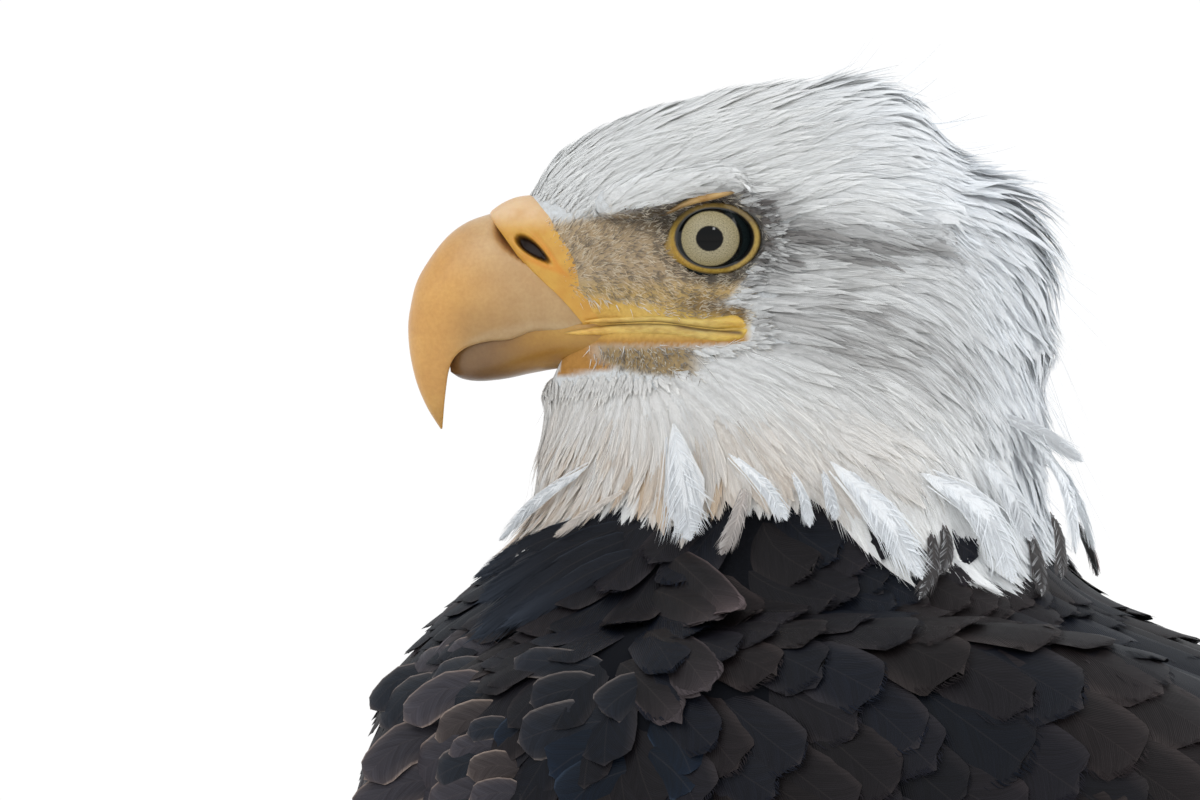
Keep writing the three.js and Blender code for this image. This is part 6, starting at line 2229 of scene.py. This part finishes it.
class EAGLE_OT_feet(bpy.types.Operator):
    """Makes the yellow feet with their scutes, toe pads and black claws"""

    bl_idname = "eagle.feet"
    bl_label = "Feet"

    def execute(self, context):
        skin = self.skin_material()
        claw = self.claw_material()
        for side in ("left", "right"):
            self.add_foot(side, skin)
            for name, spec in TOES.items():
                self.add_claw(side, name, spec, claw)
        return {"FINISHED"}

    def toe_line(self, side, spec):
        hand = hand_of(side)
        heading, length, _ = spec
        a = math.radians(heading)
        out = np.array([-math.cos(a), -hand * math.sin(a), 0.0])
        root = np.array([FOOT_X + 2, -hand * FOOT_SIDE, 0.0])
        points = [root + out * length * share + [0, 0, FLOOR_Z + z] for share, z in
                  ((0, 12.4), (0.35, 8.8), (0.7, 7.4), (1, 8))]
        return out, points

    def add_foot(self, side, material):
        hand = hand_of(side)
        ankle = np.array([FOOT_X + 16, -hand * (FOOT_SIDE - 2), FLOOR_Z + 100])
        top = np.array([FOOT_X + 2, -hand * FOOT_SIDE, FLOOR_Z + 18])
        bm = bmesh.new()
        tube(bm, scuted([ankle, mix(ankle, top, 0.5), top], (10.5, 8.6, 10.5), 11, 0.0), 64, 132)
        for spec in TOES.values():
            _, points = self.toe_line(side, spec)
            tube(bm, scuted(points, TOE_RADII, max(5, int(spec[1] / 6)), math.pi / 2), 48, 84)
            for share in (0.3, 0.62, 0.9):
                centre, _ = curve_through(points, np.array(share))
                ellipsoid(bm, centre - [0, 0, 3.2], (7.2, 6.6, 4.6), sides=20)
        ellipsoid(bm, top * [1, 1, 0] + [0, 0, FLOOR_Z + 8.2], (15, 13, 9), sides=32)
        obj = remeshed(from_bmesh(f"foot_{side}_skin", bm), 0.95, 2)
        co = coords(obj.data)
        co[:, 2] = np.maximum(co[:, 2], FLOOR_Z)
        set_coords(obj.data, co)
        low = smoothstep(-co[:, 2], -FLOOR_Z - 6, -FLOOR_Z - 1)[:, None]
        tinted(obj, mix(linear("#D9A032"), linear("#A9853B"), low * 0.6))
        finished(obj, "foot_skin", material, f"foot_{side}")

    def add_claw(self, side, name, spec, material):
        out, points = self.toe_line(side, spec)
        start = points[3] + out
        reach = spec[2] * 0.74
        line = [start + out * reach * share + [0, 0, z - 8] for share, z in
                ((-0.1, 10), (0.3, 13), (0.7, 10.4), (0.97, 1.4))]
        claw = body(f"talon_{side}_{name}", limb_surface(line, (4.5, 4.1, 2.8, 0.7)), 32, 36)
        finished(claw, "claw", material, f"claw_{side}_{name}")

    def skin_material(self):
        """Scaly foot skin: leathery, with small plates between the scutes."""
        material, tree, shader = new_material("foot_scale_skin", Roughness=0.55)
        place = place_of(tree)
        cells = add(tree, "ShaderNodeTexVoronoi", {"Vector": place}, feature="DISTANCE_TO_EDGE", Scale=1000 / 2.2)
        plates = ramp(tree, cells.outputs["Distance"], [(0.0, "#8E7A50"), (0.12, "#FFFFFF")])
        dirt = ramp(tree, noise_of(tree, 7, 4), [(0.3, "#C9B48C"), (0.7, "#FFFFFF")])
        tint = mixed(tree, "MULTIPLY", 0.6, tint_of(tree), plates)
        painted(shader, mixed(tree, "MULTIPLY", 0.8, tint, dirt))
        bumped(tree, shader, plates, 0.3, 0.7)
        return material

    def claw_material(self):
        """Black claw: hard keratin, polished by wear, with faint lengthwise grain."""
        material, tree, shader = new_material("claw_keratin", Roughness=0.28)
        shade = ramp(tree, noise_of(tree, 4, 4), [(0.3, "#0E0D10"), (0.7, "#211F22")])
        painted(shader, shade)
        bumped(tree, shader, noise_of(tree, 0.8, 3), 0.05, 0.5)
        return material


# ---- running it
OPERATORS = (
    EAGLE_OT_stage, EAGLE_OT_skin, EAGLE_OT_bill, EAGLE_OT_eyes, EAGLE_OT_mouth, EAGLE_OT_white_coat, EAGLE_OT_wings,
    EAGLE_OT_tail, EAGLE_OT_body_feathers, EAGLE_OT_plumes, EAGLE_OT_feet,
)


class EAGLE_PT_panel(bpy.types.Panel):
    """Lists the eagle's pieces in the sidebar"""

    bl_idname = "EAGLE_PT_panel"
    bl_label = "Bald Eagle"
    bl_space_type = "VIEW_3D"
    bl_region_type = "UI"
    bl_category = "Eagle"

    def draw(self, context):
        column = self.layout.column()
        for name in EAGLE_PG_settings.__annotations__:
            column.prop(context.scene.eagle, name)
        for operator in OPERATORS:
            column.operator(operator.bl_idname)


CLASSES = (EAGLE_PG_settings, *OPERATORS, EAGLE_PT_panel)


def register():
    for cls in CLASSES:
        bpy.utils.register_class(cls)
    bpy.types.Scene.eagle = bpy.props.PointerProperty(type=EAGLE_PG_settings)


def unregister():
    del bpy.types.Scene.eagle
    for cls in reversed(CLASSES):
        bpy.utils.unregister_class(cls)


def main():
    register()
    for operator in OPERATORS:
        group, name = operator.bl_idname.split(".")
        getattr(getattr(bpy.ops, group), name)()


if __name__ == "__main__":
    main()
